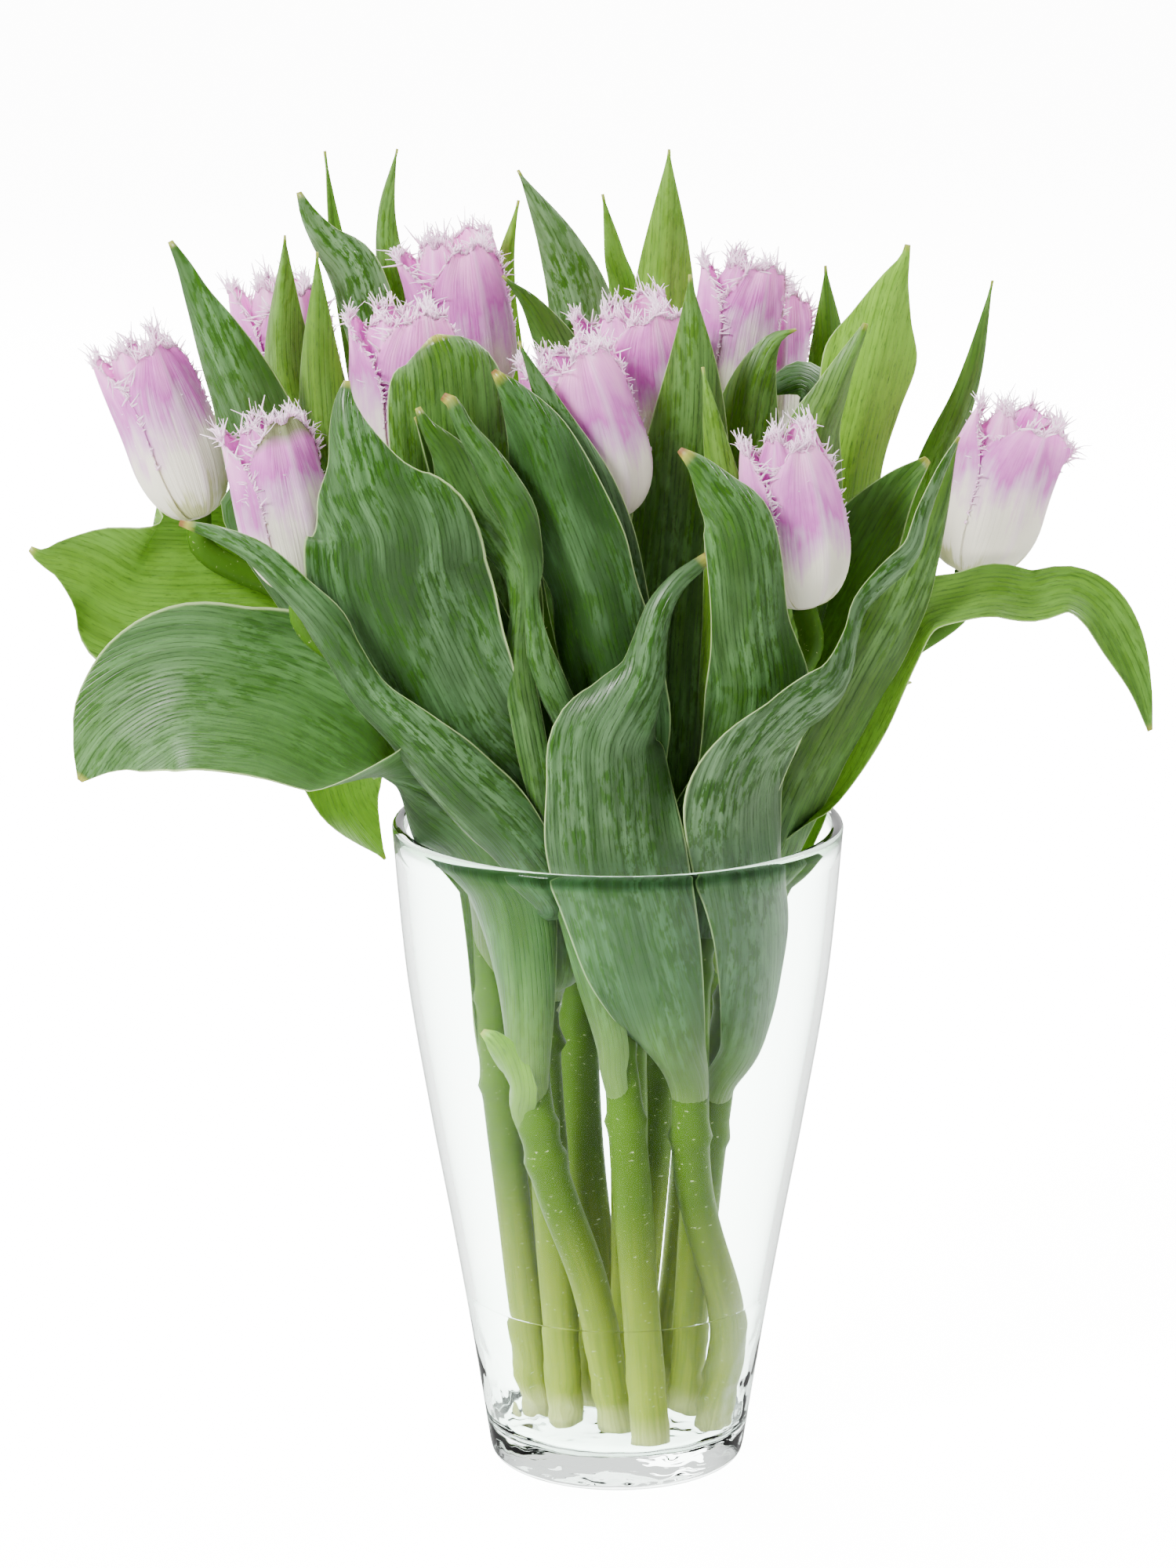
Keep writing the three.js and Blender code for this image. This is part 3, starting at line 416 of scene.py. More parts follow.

# All in millimetres and degrees. foot: where the cut end stands on the glass floor. route: points that the
# stem passes. head: its top. lean: the way the bloom points. swell, mouth, tall: the bloom's girth, mouth and
# height against the usual. open: how far its mouth leans to the right. girth: the stem's, against the usual.
# greenPetal: the number of a petal with a green tip.
# A leaf's root is its height on the stem, side the bearing it grows out on, by its later spine points, and
# face where its inner side looks. It has its full width at the share widest of its length, or widths gives it
# point by point. cup: how far it curls round. fold: how sharp its keel is. wave: how wavy, against the usual.
# tone: how young and bright, the brightness partly a painted glow of light from behind, or below 0 how
# frosty, and fade how much more so by its root. tip: how withered.
tulips = [
    dict(
        name="far_left", foot=[-27, 8], route=[[-40, 12, 125], [-50, 18, 222], [-84, 20, 280]],
        head=[-138, 14, 321], lean=[-19, 0, 58], swell=0.82, mouth=0.95, tall=1.09, open=-3, leaves=[
            dict(root=160, side=-80, cup=[60, 80], tone=-0.1, fold=0.3, tip=0.1,
                 face=[[0.3, 1, 0], [0.4, 1, 0]],
                 by=[[-52, -2, 222], [-117, -9, 317], [-116, -14, 334], [-118, -18, 353], [-121, -21, 365],
                     [-126, -23, 378], [-131, -24, 390], [-136, -23, 401], [-140, -22, 411],
                     [-144, -21, 419]], widths=[24, 21, 29, 31, 28, 24, 18, 11, 6, 2]),
            dict(root=130, side=110, cup=[50, 60], tone=0.45, tip=0.1, wave=0.3,
                 face=[[0.1, -0.9, 0.4], [0, -0.9, 0.3]],
                 by=[[-48, 25, 216], [-96, 26, 280], [-114, 22, 292], [-132, 18, 294], [-148, 13, 295],
                     [-161, 10, 297], [-173, 6, 305], [-182, 3, 309], [-189, 0, 311], [-193, -1, 314]],
                 widths=[26, 40, 58, 66, 66, 58, 34, 17, 6, 2]),
        ]),
    dict(
        name="back_left", foot=[-19, 21], route=[[-30, 29, 125], [-42, 38, 222], [-74, 46, 285]],
        head=[-106, 50, 337], lean=[-8, 0, 58], swell=0.88, mouth=1, leaves=[
            dict(root=185, side=-60, width=36, widest=0.6, cup=[100, 120], tone=0.5, fold=0.75, tip=0.1,
                 face=[[0.3, 1, 0]],
                 by=[[-50, 33, 232], [-84, 35, 283], [-102, 27, 331], [-111, 21, 371], [-109, 16, 415]]),
            dict(root=205, side=50, width=14, widest=0.5, cup=[60, 60], tone=0.3, tip=0,
                 face=[[0.4, -0.7, 0]],
                 by=[[-58, 58, 270], [-78, 60, 325], [-89, 54, 378], [-94, 50, 410], [-97, 48, 438]]),
            dict(root=140, side=150, width=38, widest=0.7, cup=[60, 60], tone=0.75, tip=0,
                 face=[[0.6, 0, 0.8], [0, -0.6, 0.7]],
                 by=[[-46, 43, 222], [-76, 50, 240], [-93, 50, 233], [-92, 51, 214], [-79, 49, 195]]),
            dict(root=165, side=90, width=38, widest=0.5, cup=[60, 80], tone=0.3, tip=0.1,
                 face=[[0.3, -1, 0], [0.3, -1, 0.2]],
                 by=[[-41, 49, 222], [-60, 71, 268], [-74, 90, 310], [-86, 100, 345]]),
        ]),
    dict(
        name="low_left", foot=[0, -8],
        route=[[-9, -18, 65], [-26, -30, 125], [-36, -24, 222], [-68, -30, 268]], head=[-102, -38, 308],
        lean=[-12, 0, 58], swell=0.8, mouth=0.95, greenPetal=5, leaves=[
            dict(root=128, side=-120, cup=[110, 50], tone=-0.05, fade=0.6, tip=0.3, wave=0.3,
                 face=[[0.3, 0.9, 0.1], [0.3, 0.9, 0.2], [0.1, -0.6, 0.9], [0.1, -0.7, 0.7], [0, -0.8, 0.5],
                       [0, -0.8, 0.5]],
                 by=[[-33, -40, 178], [-37, -39, 205], [-49, -41, 228], [-76, -36, 246], [-94, -32, 257],
                     [-110, -30, 265], [-125, -31, 269], [-139, -31, 271], [-151, -30, 268], [-163, -29, 260],
                     [-170, -28, 252], [-176, -27, 242]],
                 widths=[28, 35, 45, 62, 70, 72, 67, 64, 54, 38, 20, 2]),
            dict(root=180, side=-55, cup=[80, 110], tone=-0.05, tip=1,
                 face=[[0.2, 0.9, 0.3], [0.2, 0.8, 0.6]],
                 by=[[-20, -47, 204], [-34, -55, 228], [-52, -60, 248], [-67, -64, 265], [-80, -64, 278],
                     [-89, -66, 293], [-95, -67, 303], [-104, -66, 313], [-116, -64, 324], [-128, -60, 330],
                     [-140, -57, 334]], widths=[13, 24, 29, 25, 17, 15, 17, 15, 14, 9, 3]),
            dict(root=116, side=-165, cup=[120, 60], tone=0.9, tip=0.2,
                 face=[[0.7, 0.5, 0], [0.2, 0.9, -0.4]],
                 by=[[-33, -36, 140], [-36, -37, 150], [-40, -38, 157], [-44, -37, 160]],
                 widths=[15, 12, 7, 2]),
            dict(root=200, side=-40, cup=[30, 60], tone=-0.05, fold=0.25, tip=0.2, face=[[0.2, 1, 0.1]],
                 by=[[-35, -44, 243], [-50, -52, 264], [-64, -59, 294], [-72, -65, 316], [-74, -69, 333],
                     [-80, -71, 347], [-83, -70, 357], [-86, -67, 367], [-87, -64, 375], [-86, -61, 381]],
                 widths=[27, 45, 58, 61, 57, 39, 24, 14, 7, 2]),
        ]),
    dict(
        name="centre_left", foot=[-17, -2], route=[[-24, -4, 125], [-29, -8, 222], [-46, -10, 280]],
        head=[-67, -10, 337], lean=[-4, 0, 58], swell=1, mouth=1.1, leaves=[
            dict(root=150, side=170, width=33, widest=0.55, cup=[80, 90], tone=0.45, fold=0.45, tip=0,
                 face=[[0.3, 1, 0]],
                 by=[[-38, 0, 225], [-66, -3, 284], [-91, -10, 331], [-97, -15, 370], [-97, -18, 415]]),
            dict(root=190, side=-60, cup=[60, 90], tone=0.2, tip=0.2, face=[[0, 1, 0], [0, 1, -0.3]],
                 by=[[-41, -24, 267], [-45, -32, 305], [-52, -39, 335], [-54, -43, 359], [-55, -44, 374],
                     [-56, -44, 384], [-58, -43, 390], [-59, -42, 392]],
                 widths=[38, 43, 42, 43, 41, 32, 15, 4]),
            dict(root=150, side=-70, cup=[150, 90], tone=0.1, tip=0, wave=0.4,
                 face=[[0.1, 1, 0.1], [0.2, 1, 0]],
                 by=[[-20, -27, 176], [-19, -32, 200], [-20, -33, 225], [-24, -33, 250], [-28, -33, 275]],
                 widths=[25, 24, 22, 18, 8]),
            dict(root=165, side=-90, width=22, widest=0.5, cup=[90, 90], tone=0.1, fold=0.3, tip=0.1,
                 face=[[0.8, -0.4, 0]],
                 by=[[-24, -18, 200], [-25, -22, 236], [-37, -31, 273], [-50, -41, 312], [-59, -47, 344],
                     [-65, -49, 367]]),
        ]),
    dict(
        name="back_centre_left", foot=[-6, 14],
        route=[[-7, 16, 60], [-12.5, 21, 120], [-14, 30, 222], [-28, 36, 290]], head=[-48, 40, 352],
        lean=[-8, 0, 58], swell=0.9, mouth=1.15, girth=1.1, leaves=[
            dict(root=170, side=-150, cup=[60, 80], tone=-0.5, fold=0.35, tip=0, face=[[0.4, 1, 0]],
                 by=[[-36, 24, 254], [-77, 26, 361], [-82, 27, 379], [-86, 28, 394], [-90, 29, 403],
                     [-97, 30, 411], [-102, 30, 419], [-105, 30, 427]],
                 widths=[24, 21, 22, 22, 20, 12, 7, 2]),
            dict(root=205, side=150, width=23, widest=0.6, cup=[80, 90], tone=0.3, fold=0.4, tip=0,
                 face=[[0.6, 0.8, 0]],
                 by=[[-46, 42, 278], [-66, 46, 331], [-76, 49, 388], [-78, 48, 415], [-73, 46, 439]]),
            dict(root=150, side=90, width=40, widest=0.5, cup=[60, 80], tone=0.3, tip=0,
                 face=[[0.1, -1, 0], [0.1, -1, 0.2]],
                 by=[[-16, 50, 226], [-25, 72, 275], [-32, 90, 320], [-39, 100, 352]]),
            dict(root=200, side=60, width=14, widest=0.7, cup=[60, 80], tone=0.5, tip=0, face=[[0, 1, 0]],
                 by=[[-4, 44, 240], [3, 56, 290], [3, 66, 376], [-1, 67, 400], [-5, 65, 421]]),
            dict(root=215, side=20, width=15, widest=0.6, cup=[60, 60], tone=0.7, fold=0.3, tip=0.2,
                 face=[[0, 1, 0], [0.2, 1, 0]],
                 by=[[-20, 46, 270], [-33, 56, 320], [-38, 60, 370], [-38, 60, 396], [-33, 58, 420]]),
        ]),
    dict(
        name="front_centre", foot=[11, -24],
        route=[[7, -30, 70], [3, -36, 125], [-6, -26, 222], [-3, -22, 280]], head=[-2, -21, 327],
        lean=[-16, 0, 57], swell=0.98, mouth=1.15, leaves=[
            dict(root=158, side=-110, cup=[60, 90], tone=0, fold=0.25, tip=0.8, face=[[0.2, 1, 0]],
                 by=[[-3, -41, 196], [1, -44, 256], [-1, -48, 275], [-6, -51, 295], [-9, -53, 310],
                     [-14, -54, 325], [-21, -54, 343], [-27, -53, 361], [-34, -51, 374], [-40, -49, 382]],
                 widths=[20, 31, 34, 35, 32, 35, 32, 23, 11, 2]),
            dict(root=180, side=-50, width=24, widest=0.55, cup=[60, 80], tone=-0.2, tip=0.3,
                 face=[[0.2, 1, 0]],
                 by=[[2, -40, 232], [2, -43, 270], [-2, -44, 307], [-9, -46, 339], [-21, -45, 366],
                     [-32, -41, 390]]),
            dict(root=205, side=170, cup=[70, 100], tone=0.05, tip=0.8, face=[[0.2, 1, 0]],
                 by=[[-9, -46, 258], [-17, -55, 270], [-24, -60, 287], [-27, -62, 301], [-28, -62, 312],
                     [-28, -62, 321], [-30, -62, 329], [-33, -62, 338], [-38, -62, 347], [-43, -61, 356],
                     [-49, -59, 365], [-53, -57, 373], [-56, -56, 375]],
                 widths=[12, 11, 11, 7, 5, 8, 11, 14, 14, 11, 7, 5, 3]),
            dict(root=132, side=-120, cup=[80, 80], tone=0.1, tip=0.1, face=[[0.2, 1, 0]],
                 by=[[-5, -44, 165], [-23, -52, 232], [-27, -55, 253], [-30, -57, 270], [-32, -58, 281],
                     [-33, -58, 293], [-32, -58, 305], [-32, -58, 317], [-37, -57, 327], [-45, -57, 337],
                     [-50, -57, 347], [-55, -56, 357], [-61, -55, 365], [-64, -54, 371]],
                 widths=[14, 8, 11, 11, 11, 8, 7, 12, 16, 22, 20, 12, 5, 2]),
        ]),
    dict(
        name="centre", foot=[4, 6], route=[[4, 3, 125], [4, 4, 222], [6, 10, 290]], head=[11, 15, 335],
        lean=[-8, 0, 57], swell=1.05, mouth=1.15, leaves=[
            dict(root=150, side=-50, width=36, widest=0.6, cup=[50, 70], tone=0.25, fold=0.3, tip=0.1,
                 face=[[-0.1, 1, 0]],
                 by=[[14, -11, 226], [18, -11, 290], [22, -12, 337], [24, -15, 374], [23, -14, 407]]),
            dict(root=190, side=130, width=32, widest=0.6, cup=[60, 80], tone=-0.6, fold=0.35, tip=0.1,
                 face=[[0, 1, 0]],
                 by=[[-3, 20, 238], [-1, 26, 281], [-7, 36, 334], [-11, 40, 380], [-19, 41, 406],
                     [-33, 39, 433]]),
            dict(root=215, side=180, width=28, widest=0.55, cup=[50, 70], tone=0.15, tip=0,
                 face=[[0.3, 1, 0]],
                 by=[[-10, 14, 250], [-12, 22, 280], [-15, 27, 320], [-16, 29, 361], [-27, 28, 387],
                     [-38, 26, 400]]),
        ]),
    dict(
        name="back_centre_right", foot=[5, 19], route=[[14, 24, 125], [20, 28, 222], [27, 31, 290]],
        head=[34, 33, 347], lean=[9, 0, 58], swell=0.76, mouth=0.85, open=-1, leaves=[
            dict(root=170, side=90, width=35, widest=0.62, cup=[90, 100], tone=0.6, fold=0.55, tip=0,
                 face=[[0.1, 1, 0]],
                 by=[[18, 44, 278], [15, 50, 331], [15, 54, 384], [16, 54, 410], [17, 52, 438]]),
            dict(root=150, side=-80, width=32, widest=0.7, cup=[60, 100], tone=0.3, tip=0.2,
                 face=[[-0.2, 1, 0], [0, 1, -0.4]],
                 by=[[28, 10, 240], [38, 2, 300], [41, 0, 345], [44, 1, 368], [50, 3, 382], [58, 4, 386]]),
            dict(root=140, side=100, width=38, widest=0.5, cup=[60, 80], tone=0.3, tip=0,
                 face=[[0, -1, 0], [0, -1, 0.2]],
                 by=[[13, 56, 226], [14, 80, 280], [16, 98, 320], [14, 106, 348]]),
        ]),
    dict(
        name="back_right", foot=[17, 23], route=[[28, 36, 125], [37, 47, 222], [45, 60, 290]],
        head=[47, 68, 331], lean=[2, 0, 58], swell=0.82, mouth=1.05, leaves=[
            dict(root=205, side=0, width=24, widest=0.6, cup=[60, 70], tone=0.3, fold=0.4, tip=0,
                 face=[[-0.3, 1, 0]],
                 by=[[61, 42, 277], [72, 44, 330], [71, 46, 370], [69, 46, 400]]),
            dict(root=150, side=-50, cup=[40, 60], tone=0.9, fold=0.45, tip=0,
                 face=[[-0.3, 1, 0], [-0.2, 1, 0]],
                 by=[[47, 24, 232], [72, 16, 284], [73, 12, 311], [76, 8, 340], [80, 6, 360], [84, 5, 377],
                     [87, 5, 390], [90, 4, 401], [93, 3, 409], [94, 3, 414]],
                 widths=[22, 23, 28, 27, 30, 33, 21, 11, 4, 2]),
            dict(root=185, side=-120, cup=[40, 50], tone=-0.2, tip=0,
                 face=[[-0.6, 0.8, 0], [-0.3, 0.8, -0.3], [-0.2, 0.8, -0.6]],
                 by=[[46, 30, 250], [54, 24, 293], [66, 26, 335], [68, 24, 356], [61, 19, 367],
                     [49, 15, 364]], widths=[14, 16, 18, 17, 14, 4]),
            dict(root=135, side=70, width=40, widest=0.5, cup=[60, 80], tone=0.3, tip=0,
                 face=[[-0.5, -1, 0], [-0.5, -1, 0.2]],
                 by=[[38, 53, 220], [56, 74, 268], [74, 92, 310], [89, 99, 340]]),
        ]),
    dict(
        name="right_front", foot=[31, -6],
        route=[[36.5, -12, 52], [24, -26, 116], [30, -26, 222], [49, -35, 268]], head=[60, -38, 302],
        lean=[-7, 0, 58], swell=0.9, mouth=0.88, leaves=[
            dict(root=124, side=-110, cup=[40, 200], tone=-0.15, tip=1, face=[[0, 1, 0.1], [-0.4, 1, 0]],
                 by=[[16, -46, 158], [6, -57, 196], [0, -66, 226], [-2, -70, 251], [-2, -71, 265],
                     [4, -71, 277], [9, -70, 287], [11, -69, 297], [14, -68, 308], [19, -66, 316],
                     [25, -64, 321], [30, -62, 325]], widths=[28, 42, 49, 47, 45, 32, 22, 16, 13, 10, 8, 5]),
            dict(root=180, side=-80, cup=[60, 90], tone=0.05, tip=1, face=[[-0.1, 1, 0], [0, 1, 0]],
                 by=[[30, -46, 228], [39, -50, 247], [45, -58, 276], [42, -65, 302], [40, -68, 323],
                     [37, -68, 337], [31, -66, 346], [25, -64, 354], [19, -62, 359]],
                 widths=[30, 30, 36, 27, 26, 24, 16, 8, 2]),
            dict(root=190, side=70, cup=[80, 100], tone=0.35, fold=0.6, tip=0, face=[[-0.3, 1, 0]],
                 by=[[41, -16, 230], [60, -15, 291], [64, -15, 317], [64, -15, 339], [65, -15, 355],
                     [70, -15, 368], [74, -15, 378], [78, -14, 386], [80, -14, 391]],
                 widths=[22, 22, 25, 28, 23, 15, 9, 5, 2]),
            dict(root=225, side=170, width=15, widest=0.55, cup=[70, 70], tone=0.5, tip=0, face=[[0.2, 1, 0]],
                 by=[[31, -28, 270], [34, -28, 304], [34, -28, 335], [31, -27, 355], [27, -26, 379]]),
        ]),
    dict(
        name="far_right", foot=[23, 9], route=[[31, -6, 118], [52, -3, 222], [80, 6, 266]],
        head=[115, 6, 304], lean=[15, 0, 57], swell=1.02, mouth=1.1, open=6, leaves=[
            dict(root=118, side=-75, cup=[50, 90], tone=-0.35, tip=0.2, face=[[-0.5, 0.9, 0], [-0.8, 0.3, 0]],
                 by=[[43, -27, 152], [45, -40, 190], [41, -49, 224], [41, -58, 245], [46, -64, 260],
                     [56, -67, 272], [70, -66, 284], [75, -62, 298], [78, -57, 307], [86, -53, 315],
                     [95, -49, 323], [99, -45, 335], [104, -43, 348], [109, -41, 359]],
                 widths=[20, 30, 36, 43, 39, 26, 21, 10, 9, 11, 12, 11, 8, 2]),
            dict(root=165, side=-50, width=26, widest=0.5, cup=[60, 90], tone=0.25, tip=0.1,
                 face=[[-0.4, 1, 0]],
                 by=[[57, -21, 228], [77, -30, 272], [93, -33, 304], [102, -33, 330], [109, -30, 355]]),
            dict(root=185, side=-40, cup=[40, 60], tone=0.45, fade=0.5, tip=0.1, wave=0.6,
                 face=[[-0.5, -0.7, 0.3], [-0.3, -0.8, 0.5], [0, -0.8, 0.6], [0.3, -0.8, 0.5]],
                 by=[[62, -10, 228], [71, -12, 240], [81, -14, 262], [90, -16, 283], [99, -18, 297],
                     [112, -18, 301], [123, -18, 303], [135, -17, 301], [147, -16, 303], [157, -15, 297],
                     [165, -13, 284], [171, -12, 270], [175, -11, 255]],
                 widths=[24, 20, 23, 22, 20, 18, 20, 19, 17, 18, 16, 9, 2]),
            dict(root=195, side=170, cup=[50, 70], tone=0.1, fold=0.4, tip=0.1, face=[[-0.5, -0.8, 0]],
                 by=[[44, 2, 232], [56, 4, 262], [70, 2, 292], [83, -1, 318], [92, -4, 334], [101, -7, 345]],
                 widths=[22, 28, 33, 28, 15, 3]),
            dict(root=215, side=80, width=16, widest=0.55, cup=[60, 80], tone=0.2, fold=0.6, tip=0,
                 face=[[-0.4, 1, 0]],
                 by=[[65, 30, 246], [92, 33, 293], [107, 31, 336], [117, 27, 365], [123, 22, 399]]),
            dict(root=145, side=30, width=30, widest=0.5, cup=[60, 60], tone=1, tip=0,
                 face=[[-0.6, -0.3, 0.8], [0.2, -0.2, 0.9]],
                 by=[[61, 14, 220], [82, 30, 243], [96, 38, 258], [99, 41, 259]]),
        ]),
]


vase = {"height": 222, "rimRadius": 75, "footRadius": 43, "wall": 3, "floor": 12, "lip": 2.2, "ripple": 0.22,
        "punt": 1.0, "sides": 160}
waterForm = {"level": 60, "meniscus": 1.6, "into": 0.12}  # into the glass by a hair, so no film of air shows
stemForm = {"foot": 6.2, "head": 4.1, "full": 0.8, "fullAt": 115, "fullSpread": 50, "neck": 14, "step": 3.0,
            "sides": 20, "collar": 1.2, "collarSpread": 2.4, "intoBloom": 1.6}
stemFoot = vase["floor"] + 0.3


def stemPoints(tulip):
    head = np.array(tulip["head"], float)
    neck = head - unit(tulip["lean"]) * stemForm["neck"]
    return [[*tulip["foot"], stemFoot], *tulip["route"], neck, head]


def stemRadius(tulip, share, height):  # tapers upward, a little fuller where the lowest leaves clasp it
    full = stemForm["full"] * np.exp(-(((height - stemForm["fullAt"]) / stemForm["fullSpread"]) ** 2))
    return (mix(stemForm["foot"], stemForm["head"], share) + full) * tulip.get("girth", 1)


def stemAt(tulip, height):
    t = np.linspace(0, 1, 2001)
    line = splineAt(stemPoints(tulip), t)
    k = int(np.argmax(line[:, 2] >= height))
    share = (height - stemFoot) / (tulip["head"][2] - stemFoot)
    return line[k], stemRadius(tulip, share, height)


def addStem(mould, tulip, chance):
    points = stemPoints(tulip)
    rows = int(splineLength(points) / stemForm["step"])
    t = np.linspace(0, 1, rows)
    centre, along, length, _ = evenSpline(points, t)
    along[0] = (0, 0, 1)
    centre = np.vstack([centre, centre[-1] + along[-1] * stemForm["intoBloom"]])
    along, t = np.vstack([along, along[-1]]), np.append(t, 1)
    across = unit(np.cross((0, 1, 0), along))
    back = np.cross(along, across)
    radius = stemRadius(tulip, t, centre[:, 2])
    radius = radius * (1 + 0.03 * np.sin(t * 9 + chance * 40) + 0.02 * np.sin(t * 23 + chance * 90))
    for leaf in tulip["leaves"]:  # a ring below each leaf, where it grew
        below = (centre[:, 2] - leaf["root"] + 3) / stemForm["collarSpread"]
        radius = radius + stemForm["collar"] * np.exp(-(below**2))
    turn = circle(stemForm["sides"])
    ring = across[:, None] * np.cos(turn)[:, None] + back[:, None] * np.sin(turn)[:, None]
    body = centre[:, None] + ring * radius[:, None, None]
    place = np.stack(np.broadcast_arrays(turn * 5, (t * length)[:, None], chance * 60), -1)
    mould.add(body, tubeFaces(rows + 1, stemForm["sides"]), 0, place.reshape(-1, 3), (0, 0, 0))


leafForm = {
    "step": 3.0, "column": 2.4, "thickness": 0.7,  # spacing of its points along and across
    "sunk": 0.7, "clasp": 14, "standOff": 1.4, "reach": 0.32, "wide": 29, "wideTurn": 1.7, "narrowTurn": 1.0,
    "wave": 0.06, "waveCount": 2.6, "shift": 2, "ruffle": 0.014, "ruffleCount": 8, "keel": 0.5,
    "crease": 0.14, "tip": 2.4, "withered": 3,
    "sheath": 60, "pale": 165,  # leaves rooted below "pale" have a pale sheath
}


def fullWidth(leaf):
    return leaf["width"] if "width" in leaf else max(leaf["widths"])


def leafSpine(tulip, leaf):
    point, radius = stemAt(tulip, leaf["root"])
    above, higher = stemAt(tulip, leaf["root"] + leafForm["clasp"])
    bearing = math.radians(leaf["side"])
    out = np.array([math.cos(bearing), math.sin(bearing), 0])
    halfAngle = leafForm["wideTurn" if fullWidth(leaf) > leafForm["wide"] else "narrowTurn"]
    start, rising = point + out * radius * leafForm["sunk"], above + out * (higher + leafForm["standOff"])
    return [start, rising, *leaf["by"]], -out, halfAngle, radius * leafForm["sunk"] * halfAngle


def leafWays(leaf, inward, u):  # where the inner side looks at each share u of the length
    ways = unit(leaf["face"])
    place = np.clip((u - leafForm["reach"]) / (1 - leafForm["reach"]), 0, 1) * (len(ways) - 1)
    k = place.astype(int)
    later = mix(ways[k], ways[np.minimum(k + 1, len(ways) - 1)], (place - k)[:, None])
    early = mix(inward, ways[0], ease(u / leafForm["reach"])[:, None])
    return np.where((u < leafForm["reach"])[:, None], early, later)


def leafSection(leaf, v, halfWidth, halfAngle):  # each row's curve, built up from its turning
    turn = halfAngle[:, None] * mix(v, np.tanh(v / leafForm["crease"]), leaf.get("fold", 0))
    middle = (turn[:, 1:] + turn[:, :-1]) / 2
    step = halfWidth[:, None] * np.diff(v)
    start = np.zeros((len(halfWidth), 1))
    aside = np.hstack([start, np.cumsum(np.cos(middle) * step, axis=1)])
    rise = np.hstack([start, np.cumsum(np.sin(middle) * step, axis=1)])
    centre = len(v) // 2
    return aside - aside[:, centre:centre + 1], rise - rise[:, centre:centre + 1], turn


def leafHalfWidth(leaf, rootWidth, u, t):
    if "widths" in leaf:
        widths = [2 * rootWidth, mix(2 * rootWidth, leaf["widths"][0], 0.5), *leaf["widths"]]
        return np.maximum(splineAt(np.array(widths)[:, None], t)[:, 0] / 2, 0.5)
    past = (u - leaf["widest"]) / (1 - leaf["widest"])
    full = leaf["width"] / 2
    taper = full * (1 - past**2) * (1 - 0.35 * np.clip(past, 0, 1) ** 7)
    return np.maximum(np.where(past < 0, mix(rootWidth, full, ease(u / leaf["widest"])), taper), 0.5)


def addLeaf(mould, tulip, leaf, chance):
    f = leafForm
    points, inward, rootAngle, rootWidth = leafSpine(tulip, leaf)
    rows = int(splineLength(points) / f["step"])
    u = np.linspace(0, 1, rows)
    centre, along, length, t = evenSpline(points, u)
    facing = leafWays(leaf, inward, u)
    facing = unit(facing - along * np.sum(facing * along, axis=1, keepdims=True))
    across = np.cross(along, facing)
    inside = max(int(fullWidth(leaf) / f["column"]) | 1, 7)
    v = np.concatenate([[-1, -0.985], np.linspace(-0.955, 0.955, inside), [0.985, 1]])
    halfWidth = leafHalfWidth(leaf, rootWidth, u, t)
    middle, tip = np.radians(leaf["cup"]) / 2
    halfAngle = np.where(u < f["reach"], mix(rootAngle, middle, ease(u / f["reach"])),
                         mix(middle, tip, (u - f["reach"]) / (1 - f["reach"])))
    aside, rise, turn = leafSection(leaf, v, halfWidth, halfAngle)
    calm = (ease(u / f["reach"]) * (1 - u**4))[:, None]
    wave = f["wave"] * np.sin(2 * np.pi * f["waveCount"] * u[:, None] + f["shift"] * v + leaf["root"]) * v**2
    ruffle = f["ruffle"] * np.sin(2 * np.pi * f["ruffleCount"] * u[:, None] + 5 * v + 40 * chance) * v**4
    keel = -f["keel"] * np.exp(-((v / 0.09) ** 2)) * ease(u * 4)[:, None] * ease((1 - u) * 6)[:, None]
    rise = rise + 2 * halfWidth[:, None] * (wave + ruffle) * calm * leaf.get("wave", 1) + keel
    half = np.minimum(f["thickness"] / 2, (halfWidth / halfAngle)[:, None] * 0.4)
    half = half * np.sqrt(np.clip(1.02 - v**2, 0, 1)) ** 0.5
    layers, places, looks = [], [], []
    left = (1 - u) * length
    tipShade = ease(1 - left / (f["tip"] + f["withered"] * leaf["tip"])) * (0.4 + 0.6 * leaf["tip"])
    tipShade = tipShade - ease(1 - u * length / f["sheath"]) * (leaf["root"] < f["pale"])
    # a high tone also paints a glow of light from behind; fade shifts the tone along the leaf
    tone = (leaf["tone"] + leaf.get("fade", 0) * (0.55 - u))[:, None]
    for side in (1, -1):
        x, y = aside - side * half * np.sin(turn), rise + side * half * np.cos(turn)
        layers.append(centre[:, None] + across[:, None] * x[..., None] + facing[:, None] * y[..., None])
        places.append(np.stack(np.broadcast_arrays(halfWidth[:, None] * v, u[:, None] * length + chance * 900,
                                                   (side + 1) / 2), -1))
        looks.append(np.stack(np.broadcast_arrays(tone, tipShade[:, None], np.abs(v)), -1))
    mould.add(np.array(layers), shellFaces(rows, len(v)), 1, np.array(places).reshape(-1, 3),
              np.array(looks).reshape(-1, 3))
    return np.array(layers)


dropForm = {"count": 6, "smallest": 0.25, "largest": 0.75, "flat": 0.55}


